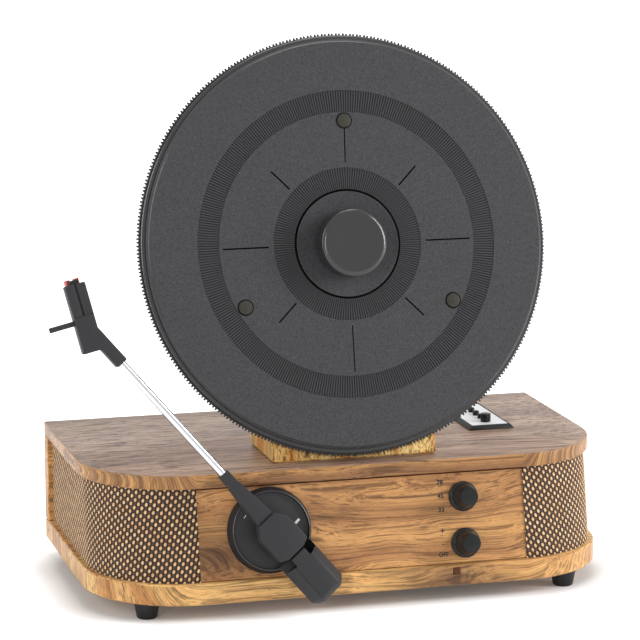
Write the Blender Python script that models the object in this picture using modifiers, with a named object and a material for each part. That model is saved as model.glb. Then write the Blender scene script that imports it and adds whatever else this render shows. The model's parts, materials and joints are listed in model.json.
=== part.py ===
"""Vertical record player: a leaning turntable on a wooden cabinet.

Units are metres. X runs to the right, the front faces -Y and Z is up. The
origin is the middle of the bottom of the object's bounding box.

Sizes come first. The cabinet is laid out from the front edge of its top board
(y = 0) and from the floor (z = 0). Everything that leans back with the platter
hangs on one empty, whose local Y points into the object and whose local Z
climbs the slope, so a height above the platter is a negative local y.
"""

import math

import bmesh
import bpy
from mathutils import Matrix, Vector

# General clearances
SEAT_GAP = 0.0003
RUN_GAP = 0.0005
OVERRUN = 0.002
MERGE = 0.00005
LEAN = math.radians(12)

# Facets round a full turn
FINE_STEPS = 32
ROUND_STEPS = 18
YOKE_STEPS = 24
SMALL_STEPS = 12
PULLEY_STEPS = 6
FLUTE_STEPS = 3
EDGE_STEPS = 2
SHARP_ANGLE = math.radians(35)
EDGE_ANGLE = math.radians(30)
WEIGHT_EDGE_ANGLE = math.radians(25)

# Cabinet boards
BOARD_WIDTH = 0.381
TOP_DEPTH = 0.195
CORNER_RADIUS = 0.071
TOP_THICKNESS = 0.010
BOTTOM_THICKNESS = 0.015
CASE_HEIGHT = 0.064
BOARD_EDGE = 0.0012
CORNER_STEPS = 10

# Front panel, and the stretch of front that each grille takes beside it
GRILLE_SPAN = 0.0705
PANEL_THICKNESS = 0.009
PANEL_INSET = 0.0027

# Back panel and its terminals
BACK_THICKNESS = 0.012
TERMINAL_WIDTH = 0.092
TERMINAL_HEIGHT = 0.030
TERMINAL_THICKNESS = 0.0025
TERMINAL_LIP = 0.004
TERMINAL_X = 0.060
INLET_RADIUS = 0.0055
INLET_BORE = 0.0030
INLET_DEPTH = 0.011
INLET_PIN = 0.0010
INLET_FLOOR = 0.0020
PHONO_RADIUS = 0.0042
PHONO_COLLAR_RADIUS = 0.0056
PHONO_COLLAR = 0.0015
PHONO_LENGTH = 0.0095
PHONO_BORE = 0.0016
PHONO_PITCH = 0.016
AUX_RADIUS = 0.0040
AUX_BORE = 0.0018
AUX_LENGTH = 0.0030
SOCKET_BODY_DEPTH = 0.008
SOCKET_BODY_WALL = 0.0015
SOCKET_MARGIN = 0.016

# Grille frames and their cloth
GRILLE_INSET = 0.0036
CLOTH_THICKNESS = 0.0012
FRAME_THICKNESS = 0.0030
FRAME_WINDOW_RADIUS = 0.026

# Loudspeakers, set across the rounded corners
SPEAKER_BOARD_THICKNESS = 0.007
SPEAKER_BOARD_WIDTH = 0.072
SPEAKER_BOARD_REACH = 0.034
SPEAKER_RADIUS = 0.0285
SPEAKER_FLANGE = 0.0022
SPEAKER_THROAT = 0.0240
SPEAKER_BASKET_RADIUS = 0.0225
SPEAKER_BASKET_DEPTH = 0.014
SPEAKER_NECK_RADIUS = 0.0120
MAGNET_RADIUS = 0.0160
MAGNET_DEPTH = 0.009
SPEAKER_WALL = 0.0014
CONE_DEPTH = 0.0080
CONE_THROAT = 0.0070
CONE_WALL = 0.0010
DUST_CAP_RISE = 0.0030

# Feet
FOOT_HEIGHT = 0.012
FOOT_TOP_RADIUS = 0.0093
FOOT_BOTTOM_RADIUS = 0.0073
FOOT_SIDE_MARGIN = 0.0365
FOOT_SETBACK = 0.023
FOOT_BACK_MARGIN = 0.022
FOOT_EDGE = 0.0008
FOOT_DIMPLE_RADIUS = 0.0030
FOOT_DIMPLE_DEPTH = 0.0040

# Power indicator in the front edge of the bottom board
INDICATOR_SIZE = 0.0048
INDICATOR_MARGIN = 0.0545
INDICATOR_DROP = 0.0042
INDICATOR_DEPTH = 0.006
INDICATOR_PROUD = 0.0006
INDICATOR_EDGE = 0.0005

# Control unit let into the top board
BEZEL_WIDTH = 0.0350
BEZEL_LENGTH = 0.0770
BEZEL_HEIGHT = 0.0030
BEZEL_SLOPE = 0.0026
BEZEL_LIP = 0.0008
BEZEL_LEDGE = 0.0014
BEZEL_FLANGE = 0.0030
BEZEL_X = 0.1232
BEZEL_SETBACK = 0.0785
CONTROL_WELL_DEPTH = 0.0060
CONTROL_FACE_THICKNESS = 0.0014
CONTROL_FACE_SINK = 0.0004
BEZEL_FLOOR = 0.0020
BUTTON_RADIUS = 0.0024
BUTTON_HEIGHT = 0.0034
BUTTON_FLANGE = 0.0010
BUTTON_FLANGE_RADIUS = 0.0034
BUTTON_PITCH = 0.0110
BUTTON_FIRST = 0.0265
BUTTON_EDGE = 0.0006
BUTTON_COUNT = 3
SOURCE_KNOB_RADIUS = 0.0038
SOURCE_KNOB_HEIGHT = 0.0062
SOURCE_KNOB_FIRST = 0.0150
SOURCE_STEM_RADIUS = 0.0020
SOURCE_KNOB_FLUTES = 10
SOURCE_KNOB_FLUTE = 0.0004

# Upright column behind the platter
COLUMN_WIDTH = 0.120
COLUMN_DEPTH = 0.062
COLUMN_RISE = 0.072
COLUMN_WALL = 0.009
COLUMN_SETBACK = 0.0175
COLUMN_EDGE = 0.0012
COLUMN_COVER = 0.004
COLUMN_COVER_LIP = 0.004
CABLE_HOLE_RADIUS = 0.008

# Platter
TOOTH_TIP_RADIUS = 0.1500
TOOTH_ROOT_RADIUS = 0.1484
TOOTH_COUNT = 180
TOOTH_RING_THICKNESS = 0.0042
TOOTH_RING_INNER = 0.1390
PLATTER_RADIUS = 0.1475
PLATTER_BACK = 0.0052
PLATTER_BEVEL = 0.0015
RIM_WIDTH = 0.0022
RIM_GROOVE_WIDTH = 0.0006
RIM_GROOVE_DEPTH = 0.0012
DECK_RISE = 0.0030
PLATTER_PLATE = 0.0026
PLATTER_SKIRT = 0.0035
PLATTER_GROUND_GAP = 0.0021
PLATTER_RUN_GAP = 0.0013
HUB_RADIUS = 0.0150
DRIVE_RING_RADIUS = 0.0560
DRIVE_RING_WALL = 0.0035
PLATTER_STEPS = 48

# Mat on the platter
MAT_THICKNESS = 0.0028
MAT_EDGE = 0.0008
OUTER_BAND_OUTER = 0.1084
OUTER_BAND_INNER = 0.0932
INNER_BAND_OUTER = 0.0538
INNER_BAND_INNER = 0.0386
BAND_SINK = 0.0008
HUB_GROOVE_WIDTH = 0.0012
HUB_GROOVE_DEPTH = 0.0014
DISH_RADIUS = 0.0345
DISH_DEPTH = 0.0012

# Three rubber buttons that hold the mat down
STUD_RADIUS = 0.0055
STUD_CIRCLE = 0.0870
STUD_HEAD = 0.0012
STUD_STEM_RADIUS = 0.0022
STUD_EDGE = 0.0005
STUD_ANGLES = (math.radians(88.5), math.radians(208.3), math.radians(330))

# Record clamp
CLAMP_RADIUS = 0.0234
CLAMP_FACE_RISE = 0.0192
CLAMP_EDGE = 0.0016
CLAMP_BASE_RADIUS = 0.0215
CLAMP_BORE_DEPTH = 0.013

# Spindle, bearing, motor and belt
SPINDLE_RADIUS = 0.0036
SPINDLE_SHAFT_RADIUS = 0.0045
SPINDLE_ABOVE_MAT = 0.0115
SPINDLE_LENGTH = 0.040
SPINDLE_TIP = 0.0016
BEARING_RADIUS = 0.0110
BEARING_FLANGE_RADIUS = 0.0190
BEARING_FLANGE = 0.0025
BEARING_LENGTH = 0.026
MOTOR_DROP = 0.0720
MOTOR_RADIUS = 0.0180
MOTOR_LENGTH = 0.026
MOTOR_BOSS_RADIUS = 0.0050
MOTOR_EDGE = 0.0012
PULLEY_RADIUS = 0.0050
PULLEY_FLANGE_RADIUS = 0.0068
PULLEY_FLANGE = 0.0006
PULLEY_HOLE_CLEARANCE = 0.0012
BELT_THICKNESS = 0.0010
BELT_WIDTH = 0.0025
BELT_BACK = 0.0005
BELT_STEPS = 24

# Knobs on the front panel
KNOB_MARGIN = 0.0460
KNOB_DROP = 0.0181
KNOB_PITCH = 0.0330
KNOB_SKIRT_RADIUS = 0.0107
KNOB_SKIRT = 0.0030
KNOB_BARREL_RADIUS = 0.0088
KNOB_FACE_RADIUS = 0.0065
KNOB_HEIGHT = 0.0165
KNOB_FLUTES = 12
KNOB_FLUTE_DEPTH = 0.0009
KNOB_EDGE = 0.0008
KNOB_SHAFT_RADIUS = 0.0030
KNOB_BORE_DEPTH = 0.0110
CONTROL_BUSH_RADIUS = 0.0040
CONTROL_BODY_RADIUS = 0.0085
CONTROL_BODY_DEPTH = 0.0090

# Tonearm base on the front panel
ARM_MARGIN = 0.0512
ARM_DROP = 0.0323
ARM_REST = math.radians(39.8)
DRUM_RADIUS = 0.0302
DRUM_FACE_RADIUS = 0.0278
DRUM_FLOOR_RADIUS = 0.0185
DRUM_HEIGHT = 0.0080
DRUM_RIM = 0.0007
DRUM_DISH_DEPTH = 0.0040
DRUM_POST_RADIUS = 0.0080
DRUM_BORE_RADIUS = 0.0050
DRUM_TAIL_RADIUS = 0.0085
DRUM_TAIL_LENGTH = 0.0130
DRUM_EDGE = 0.0010

# Tonearm yoke and tilt pin
ARM_AXIS_RISE = 0.0180
YOKE_PLATE_RADIUS = 0.0078
YOKE_PLATE = 0.0018
YOKE_EAR_THICKNESS = 0.0020
YOKE_EAR_WIDTH = 0.0070
YOKE_EAR_SPREAD = 0.0070
YOKE_EAR_RISE = 0.0032
TILT_PIN_RADIUS = 0.0012

# Tonearm housing
HOUSING_HALF_WIDTH = 0.0129
HOUSING_NOSE_HALF = 0.0073
HOUSING_NOSE = 0.0112
HOUSING_SHOULDER = 0.0034
HOUSING_HEEL = 0.0174
HOUSING_TAIL = 0.0200
HOUSING_TAIL_HALF = 0.0072
HOUSING_TOP_RISE = 0.0245
HOUSING_BOTTOM_RISE = 0.0132
HOUSING_WALL = 0.0018
HOUSING_EDGE = 0.0006

# Tonearm sleeve and tube
SLEEVE_ROOT_HALF = 0.0067
SLEEVE_STEP_HALF = 0.0043
SLEEVE_TIP_HALF = 0.0037
SLEEVE_STEP = 0.0435
SLEEVE_TIP = 0.0548
SLEEVE_ROOT_TALL = 0.0046
SLEEVE_TIP_TALL = 0.0043
SLEEVE_EDGE = 0.0006
TUBE_RADIUS = 0.0029
TUBE_WALL = 0.0008
TUBE_SOCKET = 0.0100
TUBE_END = 0.1640

# Headshell, finger lift and cartridge
SHELL_OFFSET = math.radians(26.8)
SHELL_START = 0.1545
SHELL_END = 0.2024
SHELL_SIDE = -0.0883
SHELL_WIDTH = 0.0144
SHELL_TOP_RISE = 0.0222
SHELL_BOTTOM_RISE = 0.0128
SHELL_WALL = 0.0016
SHELL_HOLLOW_LENGTH = 0.0360
SHELL_EDGE = 0.0007
SHELL_GROOVE_WIDTH = 0.0014
SHELL_GROOVE_DEPTH = 0.0007
SHELL_GROOVE_START = 0.1804
COLLAR_START = 0.1585
COLLAR_HALF = 0.0043
LIFT_ALONG = 0.1765
LIFT_WIDTH = 0.0036
LIFT_REACH = 0.0182
LIFT_THICKNESS = 0.0016
LIFT_EDGE = 0.0004
CARTRIDGE_LENGTH = 0.0180
CARTRIDGE_WIDTH = 0.0098
CARTRIDGE_DROP = 0.0032
CARTRIDGE_SINK = 0.0008
STYLUS_HOLDER_LENGTH = 0.0075
STYLUS_HOLDER_WIDTH = 0.0090
STYLUS_HOLDER_HEIGHT = 0.0038
STYLUS_HOLDER_NOTCH = 0.0036
STYLUS_HORN_RISE = 0.0076
STYLUS_HOLDER_PROUD = 0.0036
STYLUS_TIP_RISE = 0.0058
STYLUS_ROOT_RADIUS = 0.0010
STYLUS_TIP_RADIUS = 0.00025
STYLUS_LENGTH = 0.0040

# Counterweight
WEIGHT_START = 0.0212
WEIGHT_END = 0.0598
WEIGHT_HALF = 0.0147
WEIGHT_RIDGE = 0.0080
WEIGHT_TOP_RISE = 0.0242
WEIGHT_FLANK_RISE = 0.0152
WEIGHT_BOTTOM_RISE = 0.0142
WEIGHT_NOTCH_LENGTH = 0.0062
WEIGHT_NOTCH_FLOOR = 0.0012
WEIGHT_NECK_HALF = 0.0062
WEIGHT_END_TAPER = 0.0044
WEIGHT_END_FALL = 0.0050
WEIGHT_EDGE = 0.0008
STUB_RADIUS = 0.0030
STUB_INSERT = 0.0060

# Boards inside the cabinet
MAIN_BOARD_WIDTH = 0.090
MAIN_BOARD_DEPTH = 0.060
MAIN_BOARD_THICKNESS = 0.0016
MAIN_BOARD_X = -0.010
MAIN_BOARD_CLEARANCE = 0.018
BOARD_POST_HEIGHT = 0.006
BOARD_POST_RADIUS = 0.003
BOARD_POST_INSET = 0.006
TRANSFORMER_SIZE = 0.018

# Places that follow from the sizes above
SIN = math.sin(LEAN)
COS = math.cos(LEAN)
TAN = math.tan(LEAN)
BOTTOM_Z = FOOT_HEIGHT
FLOOR_OF_CASE = BOTTOM_Z + BOTTOM_THICKNESS
CEILING_OF_CASE = FLOOR_OF_CASE + CASE_HEIGHT
PANEL_WIDTH = BOARD_WIDTH - 2 * GRILLE_SPAN
FOOT_X = BOARD_WIDTH / 2 - FOOT_SIDE_MARGIN
TOP_Z = CEILING_OF_CASE + TOP_THICKNESS
PLATTER_Z = TOP_Z + PLATTER_GROUND_GAP + TOOTH_TIP_RADIUS * COS + PLATTER_BACK * SIN
PLATTER_Y = COLUMN_SETBACK + (PLATTER_Z - TOP_Z) * TAN - (PLATTER_BACK + PLATTER_RUN_GAP) / COS
PANEL_RISE = (PLATTER_Y - PANEL_INSET) * COS + (CEILING_OF_CASE - PLATTER_Z) * SIN
PANEL_TOP = (PANEL_INSET - PLATTER_Y) * SIN + (CEILING_OF_CASE - PLATTER_Z) * COS
MAT_FACE = DECK_RISE + SEAT_GAP + MAT_THICKNESS
KNOB_X = PANEL_WIDTH / 2 - KNOB_MARGIN
ARM_LEFT = PANEL_WIDTH / 2 - ARM_MARGIN
INDICATOR_X = PANEL_WIDTH / 2 - INDICATOR_MARGIN


def front_edge(z):
    """Return the y of the cabinet's leaning front at height z."""
    return -(TOP_Z - z) * TAN


# Scene, collections and materials

for old in list(bpy.data.objects):
    bpy.data.objects.remove(old, do_unlink=True)

parts = bpy.data.collections.new("vertical_record_player")
cutters = bpy.data.collections.new("cutters")
bpy.context.scene.collection.children.link(parts)
bpy.context.scene.collection.children.link(cutters)


def finish(name, colour, roughness, metallic=0.0):
    """Make one sub-part's own Principled material."""
    material = bpy.data.materials.new(name + "_finish")
    material.use_nodes = True
    shader = material.node_tree.nodes["Principled BSDF"]
    shader.inputs["Base Color"].default_value = (*colour, 1)
    shader.inputs["Roughness"].default_value = roughness
    shader.inputs["Metallic"].default_value = metallic
    return material


WALNUT = ((0.42, 0.24, 0.11), 0.5, 0)
OAK = ((0.56, 0.33, 0.15), 0.5, 0)
CLOTH = ((0.22, 0.15, 0.09), 0.9, 0)
BLACK = ((0.018, 0.018, 0.02), 0.45, 0)
DARK_GREY = ((0.05, 0.05, 0.053), 0.6, 0)
RUBBER = ((0.012, 0.012, 0.012), 0.85, 0)
SILVER = ((0.85, 0.85, 0.86), 0.15, 1)
STEEL = ((0.55, 0.55, 0.56), 0.3, 1)
RED = ((0.55, 0.03, 0.03), 0.4, 0)
WHITE = ((0.75, 0.76, 0.78), 0.4, 0)
OLIVE = ((0.05, 0.045, 0.03), 0.7, 0)
LENS = ((0.12, 0.13, 0.15), 0.15, 0)
PAPER = ((0.04, 0.04, 0.04), 0.9, 0)
GREEN = ((0.02, 0.14, 0.05), 0.5, 0)


# Empties: the axes that the moving pieces turn on

def empty(name, parent=None, location=(0, 0, 0), rotation=(0, 0, 0)):
    """Add an empty that carries other pieces."""
    frame = bpy.data.objects.new(name, None)
    frame.empty_display_size = SPINDLE_LENGTH
    frame.parent = parent
    frame.location = location
    frame.rotation_euler = rotation
    parts.objects.link(frame)
    return frame


FACE_OUT = (math.pi / 2, 0, 0)
FACE_BACK = (-math.pi / 2, 0, 0)

origin = empty("record_player_origin")
lean = empty("lean_frame", origin, (0, PLATTER_Y, PLATTER_Z), (-LEAN, 0, 0))
platter_axis = empty("platter_axis", lean)
clamp_axis = empty("clamp_axis", platter_axis)
pulley_axis = empty("pulley_axis", lean, (0, 0, -MOTOR_DROP))
panel = empty("panel_frame", lean, (0, -PANEL_RISE, PANEL_TOP))
speed_axis = empty("speed_axis", panel, (KNOB_X, 0, -KNOB_DROP))
volume_axis = empty("volume_axis", panel, (KNOB_X, 0, -KNOB_DROP - KNOB_PITCH))
swing_axis = empty("tonearm_swing_axis", panel, (-ARM_LEFT, 0, -ARM_DROP), (0, -ARM_REST, 0))
tilt_axis = empty("tonearm_tilt_axis", swing_axis, (0, -ARM_AXIS_RISE, 0))
shell_frame = empty("headshell_frame", tilt_axis, rotation=(0, SHELL_OFFSET, 0))


# Modelling helpers

def add(name, mesh, look, parent, location=(0, 0, 0), rotation=(0, 0, 0)):
    """Put a mesh in the scene as one named sub-part."""
    piece = bpy.data.objects.new(name, mesh)
    piece.parent = parent
    piece.location = location
    piece.rotation_euler = rotation
    if look is None:
        piece.hide_render = True
        piece.display_type = "WIRE"
        cutters.objects.link(piece)
    else:
        mesh.materials.append(finish(name, *look))
        parts.objects.link(piece)
    return piece


def round_edges(piece, width, segments=EDGE_STEPS, angle=EDGE_ANGLE):
    """Round a piece's sharp edges."""
    bevel = piece.modifiers.new("rounded_edges", "BEVEL")
    bevel.width = width
    bevel.segments = segments
    bevel.limit_method = "ANGLE"
    bevel.angle_limit = angle
    return piece


def cut(piece, *tools, operation="DIFFERENCE"):
    """Cut a piece with other solids, or join them to it."""
    for tool in tools:
        boolean = piece.modifiers.new("cut_by_" + tool.name, "BOOLEAN")
        boolean.operation = operation
        boolean.solver = "EXACT"
        boolean.object = tool
    return piece


def smooth(mesh, angle=SHARP_ANGLE):
    """Shade a round piece smooth, with its real corners kept sharp."""
    mesh.shade_smooth()
    mesh.set_sharp_from_angle(angle=angle)


def block(name, look, parent, low, high, location=(0, 0, 0), rotation=(0, 0, 0)):
    """A box between two corners."""
    low = Vector(low)
    high = Vector(high)
    mesh = bpy.data.meshes.new(name)
    shape = bmesh.new()
    placing = Matrix.Translation((low + high) / 2) @ Matrix.Diagonal((*(high - low), 1))
    bmesh.ops.create_cube(shape, size=1, matrix=placing)
    shape.to_mesh(mesh)
    shape.free()
    return add(name, mesh, look, parent, location, rotation)


def turned(name, look, parent, profile, steps=ROUND_STEPS, ring=False, location=(0, 0, 0), rotation=FACE_OUT):
    """A profile of (radius, height) points, outer side first, turned about its own Z."""
    mesh = bpy.data.meshes.new(name)
    count = len(profile)
    edges = [(i, i + 1) for i in range(count - 1)]
    if ring:
        edges.append((count - 1, 0))
    mesh.from_pydata([(radius, 0, height) for radius, height in profile], edges, [])
    piece = add(name, mesh, look, parent, location, rotation)
    screw = piece.modifiers.new("turned", "SCREW")
    screw.steps = steps
    screw.render_steps = steps
    screw.use_merge_vertices = True
    screw.merge_threshold = MERGE
    screw.use_smooth_shade = True
    return piece


def arc(centre, radius, start, end, steps):
    """Points of an arc from one angle to another."""
    return [
        (centre[0] + radius * math.cos(start + (end - start) * i / steps),
         centre[1] + radius * math.sin(start + (end - start) * i / steps))
        for i in range(steps + 1)
    ]


def plate(name, look, parent, outlines, thickness, location=(0, 0, 0), rotation=(0, 0, 0)):
    """A flat plate: the first outline is its edge, the others are holes through it."""
    curve = bpy.data.curves.new(name, "CURVE")
    curve.dimensions = "2D"
    curve.fill_mode = "BOTH"
    curve.extrude = thickness / 2
    for outline in outlines:
        spline = curve.splines.new("POLY")
        spline.points.add(len(outline) - 1)
        for point, (x, y) in zip(spline.points, outline):
            point.co = (x, y, 0, 1)
        spline.use_cyclic_u = True
    drawn = bpy.data.objects.new(name + "_outline", curve)
    parts.objects.link(drawn)
    bpy.context.view_layer.update()
    evaluated = drawn.evaluated_get(bpy.context.evaluated_depsgraph_get())
    mesh = bpy.data.meshes.new_from_object(evaluated)
    mesh.name = name
    mesh.materials.clear()
    bpy.data.objects.remove(drawn, do_unlink=True)
    welded = bmesh.new()
    welded.from_mesh(mesh)
    bmesh.ops.remove_doubles(welded, verts=welded.verts, dist=MERGE)
    bmesh.ops.recalc_face_normals(welded, faces=welded.faces)
    welded.to_mesh(mesh)
    welded.free()
    return add(name, mesh, look, parent, location, rotation)


def loft(name, look, parent, sections, location=(0, 0, 0), rotation=(0, 0, 0)):
    """A closed solid through sections that have the same number of points."""
    mesh = bpy.data.meshes.new(name)
    count = len(sections[0])
    points = [point for section in sections for point in section]
    faces = [tuple(reversed(range(count)))]
    for s in range(len(sections) - 1):
        for i in range(count):
            j = (i + 1) % count
            faces.append((s * count + i, s * count + j, (s + 1) * count + j, (s + 1) * count + i))
    faces.append(tuple(range((len(sections) - 1) * count, len(sections) * count)))
    mesh.from_pydata(points, [], faces)
    shape = bmesh.new()
    shape.from_mesh(mesh)
    bmesh.ops.recalc_face_normals(shape, faces=shape.faces)
    shape.to_mesh(mesh)
    shape.free()
    return add(name, mesh, look, parent, location, rotation)


def rectangle(low, high):
    """Corners of a rectangle."""
    return [(low[0], low[1]), (high[0], low[1]), (high[0], high[1]), (low[0], high[1])]


def circle(centre, radius, steps=ROUND_STEPS):
    """Points of a full circle."""
    return arc(centre, radius, 0, math.tau * (steps - 1) / steps, steps - 1)


# Cabinet boards

def board_outline(front, inset=0):
    """A board seen from above: square at the back, rounded at the front."""
    half = BOARD_WIDTH / 2 - inset
    radius = CORNER_RADIUS - inset
    left = arc((-half + radius, front + inset + radius), radius, math.pi, 1.5 * math.pi, CORNER_STEPS)
    right = arc((half - radius, front + inset + radius), radius, -0.5 * math.pi, 0, CORNER_STEPS)
    return [(-half, TOP_DEPTH), *left, *right, (half, TOP_DEPTH)]


WELL_WIDTH = BEZEL_WIDTH - 2 * BEZEL_FLANGE
WELL_LENGTH = BEZEL_LENGTH - 2 * BEZEL_FLANGE
WELL_Y = BEZEL_SETBACK + BEZEL_LENGTH / 2
COLUMN_FOOT_Y = COLUMN_SETBACK + COLUMN_DEPTH / COS / 2


def build_boards():
    top = plate(
        "top_board", WALNUT, origin, [board_outline(0)], TOP_THICKNESS, (0, 0, TOP_Z - TOP_THICKNESS / 2),
    )
    round_edges(top, BOARD_EDGE)
    over = TOP_Z + OVERRUN
    below = CEILING_OF_CASE - OVERRUN
    well = block(
        "control_well", None, origin,
        (BEZEL_X - WELL_WIDTH / 2, WELL_Y - WELL_LENGTH / 2, below),
        (BEZEL_X + WELL_WIDTH / 2, WELL_Y + WELL_LENGTH / 2, over),
    )
    cable_hole = turned(
        "board_cable_hole", None, origin,
        [(0, over), (CABLE_HOLE_RADIUS, over), (CABLE_HOLE_RADIUS, below), (0, below)],
        SMALL_STEPS, location=(0, COLUMN_FOOT_Y, 0), rotation=(0, 0, 0),
    )
    cut(top, well, cable_hole)
    bottom = plate(
        "bottom_board", OAK, origin, [board_outline(front_edge(FLOOR_OF_CASE))],
        BOTTOM_THICKNESS, (0, 0, FLOOR_OF_CASE - BOTTOM_THICKNESS / 2),
    )
    round_edges(bottom, BOARD_EDGE, 1)
    front = front_edge(FLOOR_OF_CASE)
    half = INDICATOR_SIZE / 2
    middle = FLOOR_OF_CASE - INDICATOR_DROP
    pocket = block(
        "indicator_pocket", None, origin,
        (INDICATOR_X - half - SEAT_GAP, front - OVERRUN, middle - half - SEAT_GAP),
        (INDICATOR_X + half + SEAT_GAP, front + INDICATOR_DEPTH + SEAT_GAP, middle + half + SEAT_GAP),
    )
    cut(bottom, pocket)
    lens = block(
        "power_indicator", LENS, origin,
        (INDICATOR_X - half, front - INDICATOR_PROUD, middle - half),
        (INDICATOR_X + half, front + INDICATOR_DEPTH, middle + half),
    )
    round_edges(lens, INDICATOR_EDGE, 1)


def build_front_panel():
    """The panel's section leans; its top and bottom edges lie flat on the boards."""
    low = FLOOR_OF_CASE + SEAT_GAP
    high = CEILING_OF_CASE - SEAT_GAP
    y_low = PANEL_INSET - (CEILING_OF_CASE - low) * TAN
    y_high = PANEL_INSET - (CEILING_OF_CASE - high) * TAN
    through = PANEL_THICKNESS / COS
    section = [(y_low, low), (y_low + through, low), (y_high + through, high), (y_high, high)]
    upright = (math.pi / 2, 0, math.pi / 2)
    piece = plate("front_panel", OAK, origin, [section], PANEL_WIDTH, rotation=upright)
    tools = []
    for name, frame, radius in (
        ("tonearm_hole", swing_axis, DRUM_TAIL_RADIUS),
        ("speed_hole", speed_axis, CONTROL_BUSH_RADIUS),
        ("volume_hole", volume_axis, CONTROL_BUSH_RADIUS),
    ):
        reach = radius + SEAT_GAP
        profile = [(0, OVERRUN), (reach, OVERRUN), (reach, -PANEL_THICKNESS - OVERRUN),
                   (0, -PANEL_THICKNESS - OVERRUN)]
        tools.append(turned(name, None, frame, profile))
    cut(piece, *tools)


def build_back_panel():
    half = BOARD_WIDTH / 2
    low = FLOOR_OF_CASE + SEAT_GAP
    high = CEILING_OF_CASE - SEAT_GAP
    middle = (low + high) / 2
    hole_half = TERMINAL_WIDTH / 2 - TERMINAL_LIP
    hole_tall = TERMINAL_HEIGHT / 2 - TERMINAL_LIP
    window = rectangle(
        (TERMINAL_X - hole_half, middle - hole_tall), (TERMINAL_X + hole_half, middle + hole_tall),
    )
    back = plate(
        "back_panel", WALNUT, origin, [rectangle((-half, low), (half, high)), window],
        BACK_THICKNESS, (0, TOP_DEPTH - BACK_THICKNESS / 2, 0), FACE_OUT,
    )
    round_edges(back, BOARD_EDGE / 2, 1)


# Terminals on the back

def build_terminals():
    middle = (FLOOR_OF_CASE + CEILING_OF_CASE) / 2
    face = TOP_DEPTH + SEAT_GAP + TERMINAL_THICKNESS
    half = TERMINAL_WIDTH / 2
    usable = half - SOCKET_MARGIN
    inlet_x = TERMINAL_X - usable
    aux_x = inlet_x + PHONO_PITCH
    phono_x = TERMINAL_X + usable - PHONO_PITCH / 2
    holes = [
        circle((inlet_x, middle), INLET_RADIUS + SEAT_GAP, SMALL_STEPS),
        circle((aux_x, middle), AUX_RADIUS + SEAT_GAP, SMALL_STEPS),
        circle((phono_x - PHONO_PITCH / 2, middle), PHONO_RADIUS + SEAT_GAP, SMALL_STEPS),
        circle((phono_x + PHONO_PITCH / 2, middle), PHONO_RADIUS + SEAT_GAP, SMALL_STEPS),
    ]
    tall = TERMINAL_HEIGHT / 2
    sheet = rectangle((TERMINAL_X - half, middle - tall), (TERMINAL_X + half, middle + tall))
    plate(
        "terminal_plate", BLACK, origin, [sheet, *holes], TERMINAL_THICKNESS,
        (0, TOP_DEPTH + SEAT_GAP + TERMINAL_THICKNESS / 2, 0), FACE_OUT,
    )
    floor = INLET_FLOOR - INLET_DEPTH
    inlet = [
        (0, -INLET_FLOOR), (INLET_PIN, -INLET_FLOOR), (INLET_PIN, floor), (INLET_BORE, floor), (INLET_BORE, 0),
        (INLET_RADIUS, 0), (INLET_RADIUS, -INLET_DEPTH), (0, -INLET_DEPTH),
    ]
    place = (inlet_x, face, middle)
    turned("power_inlet", BLACK, origin, inlet, SMALL_STEPS, location=place, rotation=FACE_BACK)

    edge = PHONO_COLLAR_RADIUS + SOCKET_BODY_WALL
    sockets = block(
        "audio_sockets", STEEL, origin,
        (aux_x - edge, TOP_DEPTH - SOCKET_BODY_DEPTH, middle - edge),
        (phono_x + PHONO_PITCH / 2 + edge, TOP_DEPTH, middle + edge),
    )
    low = -TERMINAL_THICKNESS - SOCKET_BODY_DEPTH / 2
    rise = AUX_LENGTH - TERMINAL_THICKNESS
    collar = SEAT_GAP + PHONO_COLLAR
    barrels = {
        "aux": (aux_x, AUX_BORE, rise, [(0, rise), (AUX_RADIUS, rise), (AUX_RADIUS, low), (0, low)]),
    }
    phono = [
        (0, PHONO_LENGTH), (PHONO_RADIUS, PHONO_LENGTH), (PHONO_RADIUS, collar), (PHONO_COLLAR_RADIUS, collar),
        (PHONO_COLLAR_RADIUS, SEAT_GAP), (PHONO_RADIUS, SEAT_GAP), (PHONO_RADIUS, low), (0, low),
    ]
    barrels["phono_left"] = (phono_x - PHONO_PITCH / 2, PHONO_BORE, PHONO_LENGTH, phono)
    barrels["phono_right"] = (phono_x + PHONO_PITCH / 2, PHONO_BORE, PHONO_LENGTH, phono)
    for label, (x, bore, end, profile) in barrels.items():
        place = (x, face, middle)
        barrel = turned(
            label + "_barrel", None, origin, profile, SMALL_STEPS, location=place, rotation=FACE_BACK,
        )
        hole = [(0, end + OVERRUN), (bore, end + OVERRUN), (bore, low), (0, low)]
        drill = turned(label + "_bore", None, origin, hole, SMALL_STEPS, location=place, rotation=FACE_BACK)
        cut(sockets, barrel, operation="UNION")
        cut(sockets, drill)


# Grilles and loudspeakers

def grille_line(z, inset, side):
    """The grille's line at one height: from the front panel round the corner to the back."""
    front = front_edge(z)
    half = BOARD_WIDTH / 2 - inset
    radius = CORNER_RADIUS - inset
    start = PANEL_WIDTH / 2 + SEAT_GAP
    bend_start = half - radius
    first = -math.acos(max((start - bend_start) / radius, 0))
    line = arc((bend_start, front + inset + radius), radius, first, 0, CORNER_STEPS)
    if start < bend_start:
        line.insert(0, (start, front + inset))
    line.append((half, TOP_DEPTH - BACK_THICKNESS - SEAT_GAP))
    return [(side * x, y, z) for x, y in line]


def grille_band(name, look, inset, thickness, side):
    """A wall of even thickness that leans with the cabinet's front."""
    sections = []
    for z in (FLOOR_OF_CASE + SEAT_GAP, CEILING_OF_CASE - SEAT_GAP):
        outer = grille_line(z, inset, side)
        inner = grille_line(z, inset + thickness, side)
        sections.append(outer + inner[::-1])
    piece = loft(name, look, origin, sections)
    smooth(piece.data)
    return piece


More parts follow.
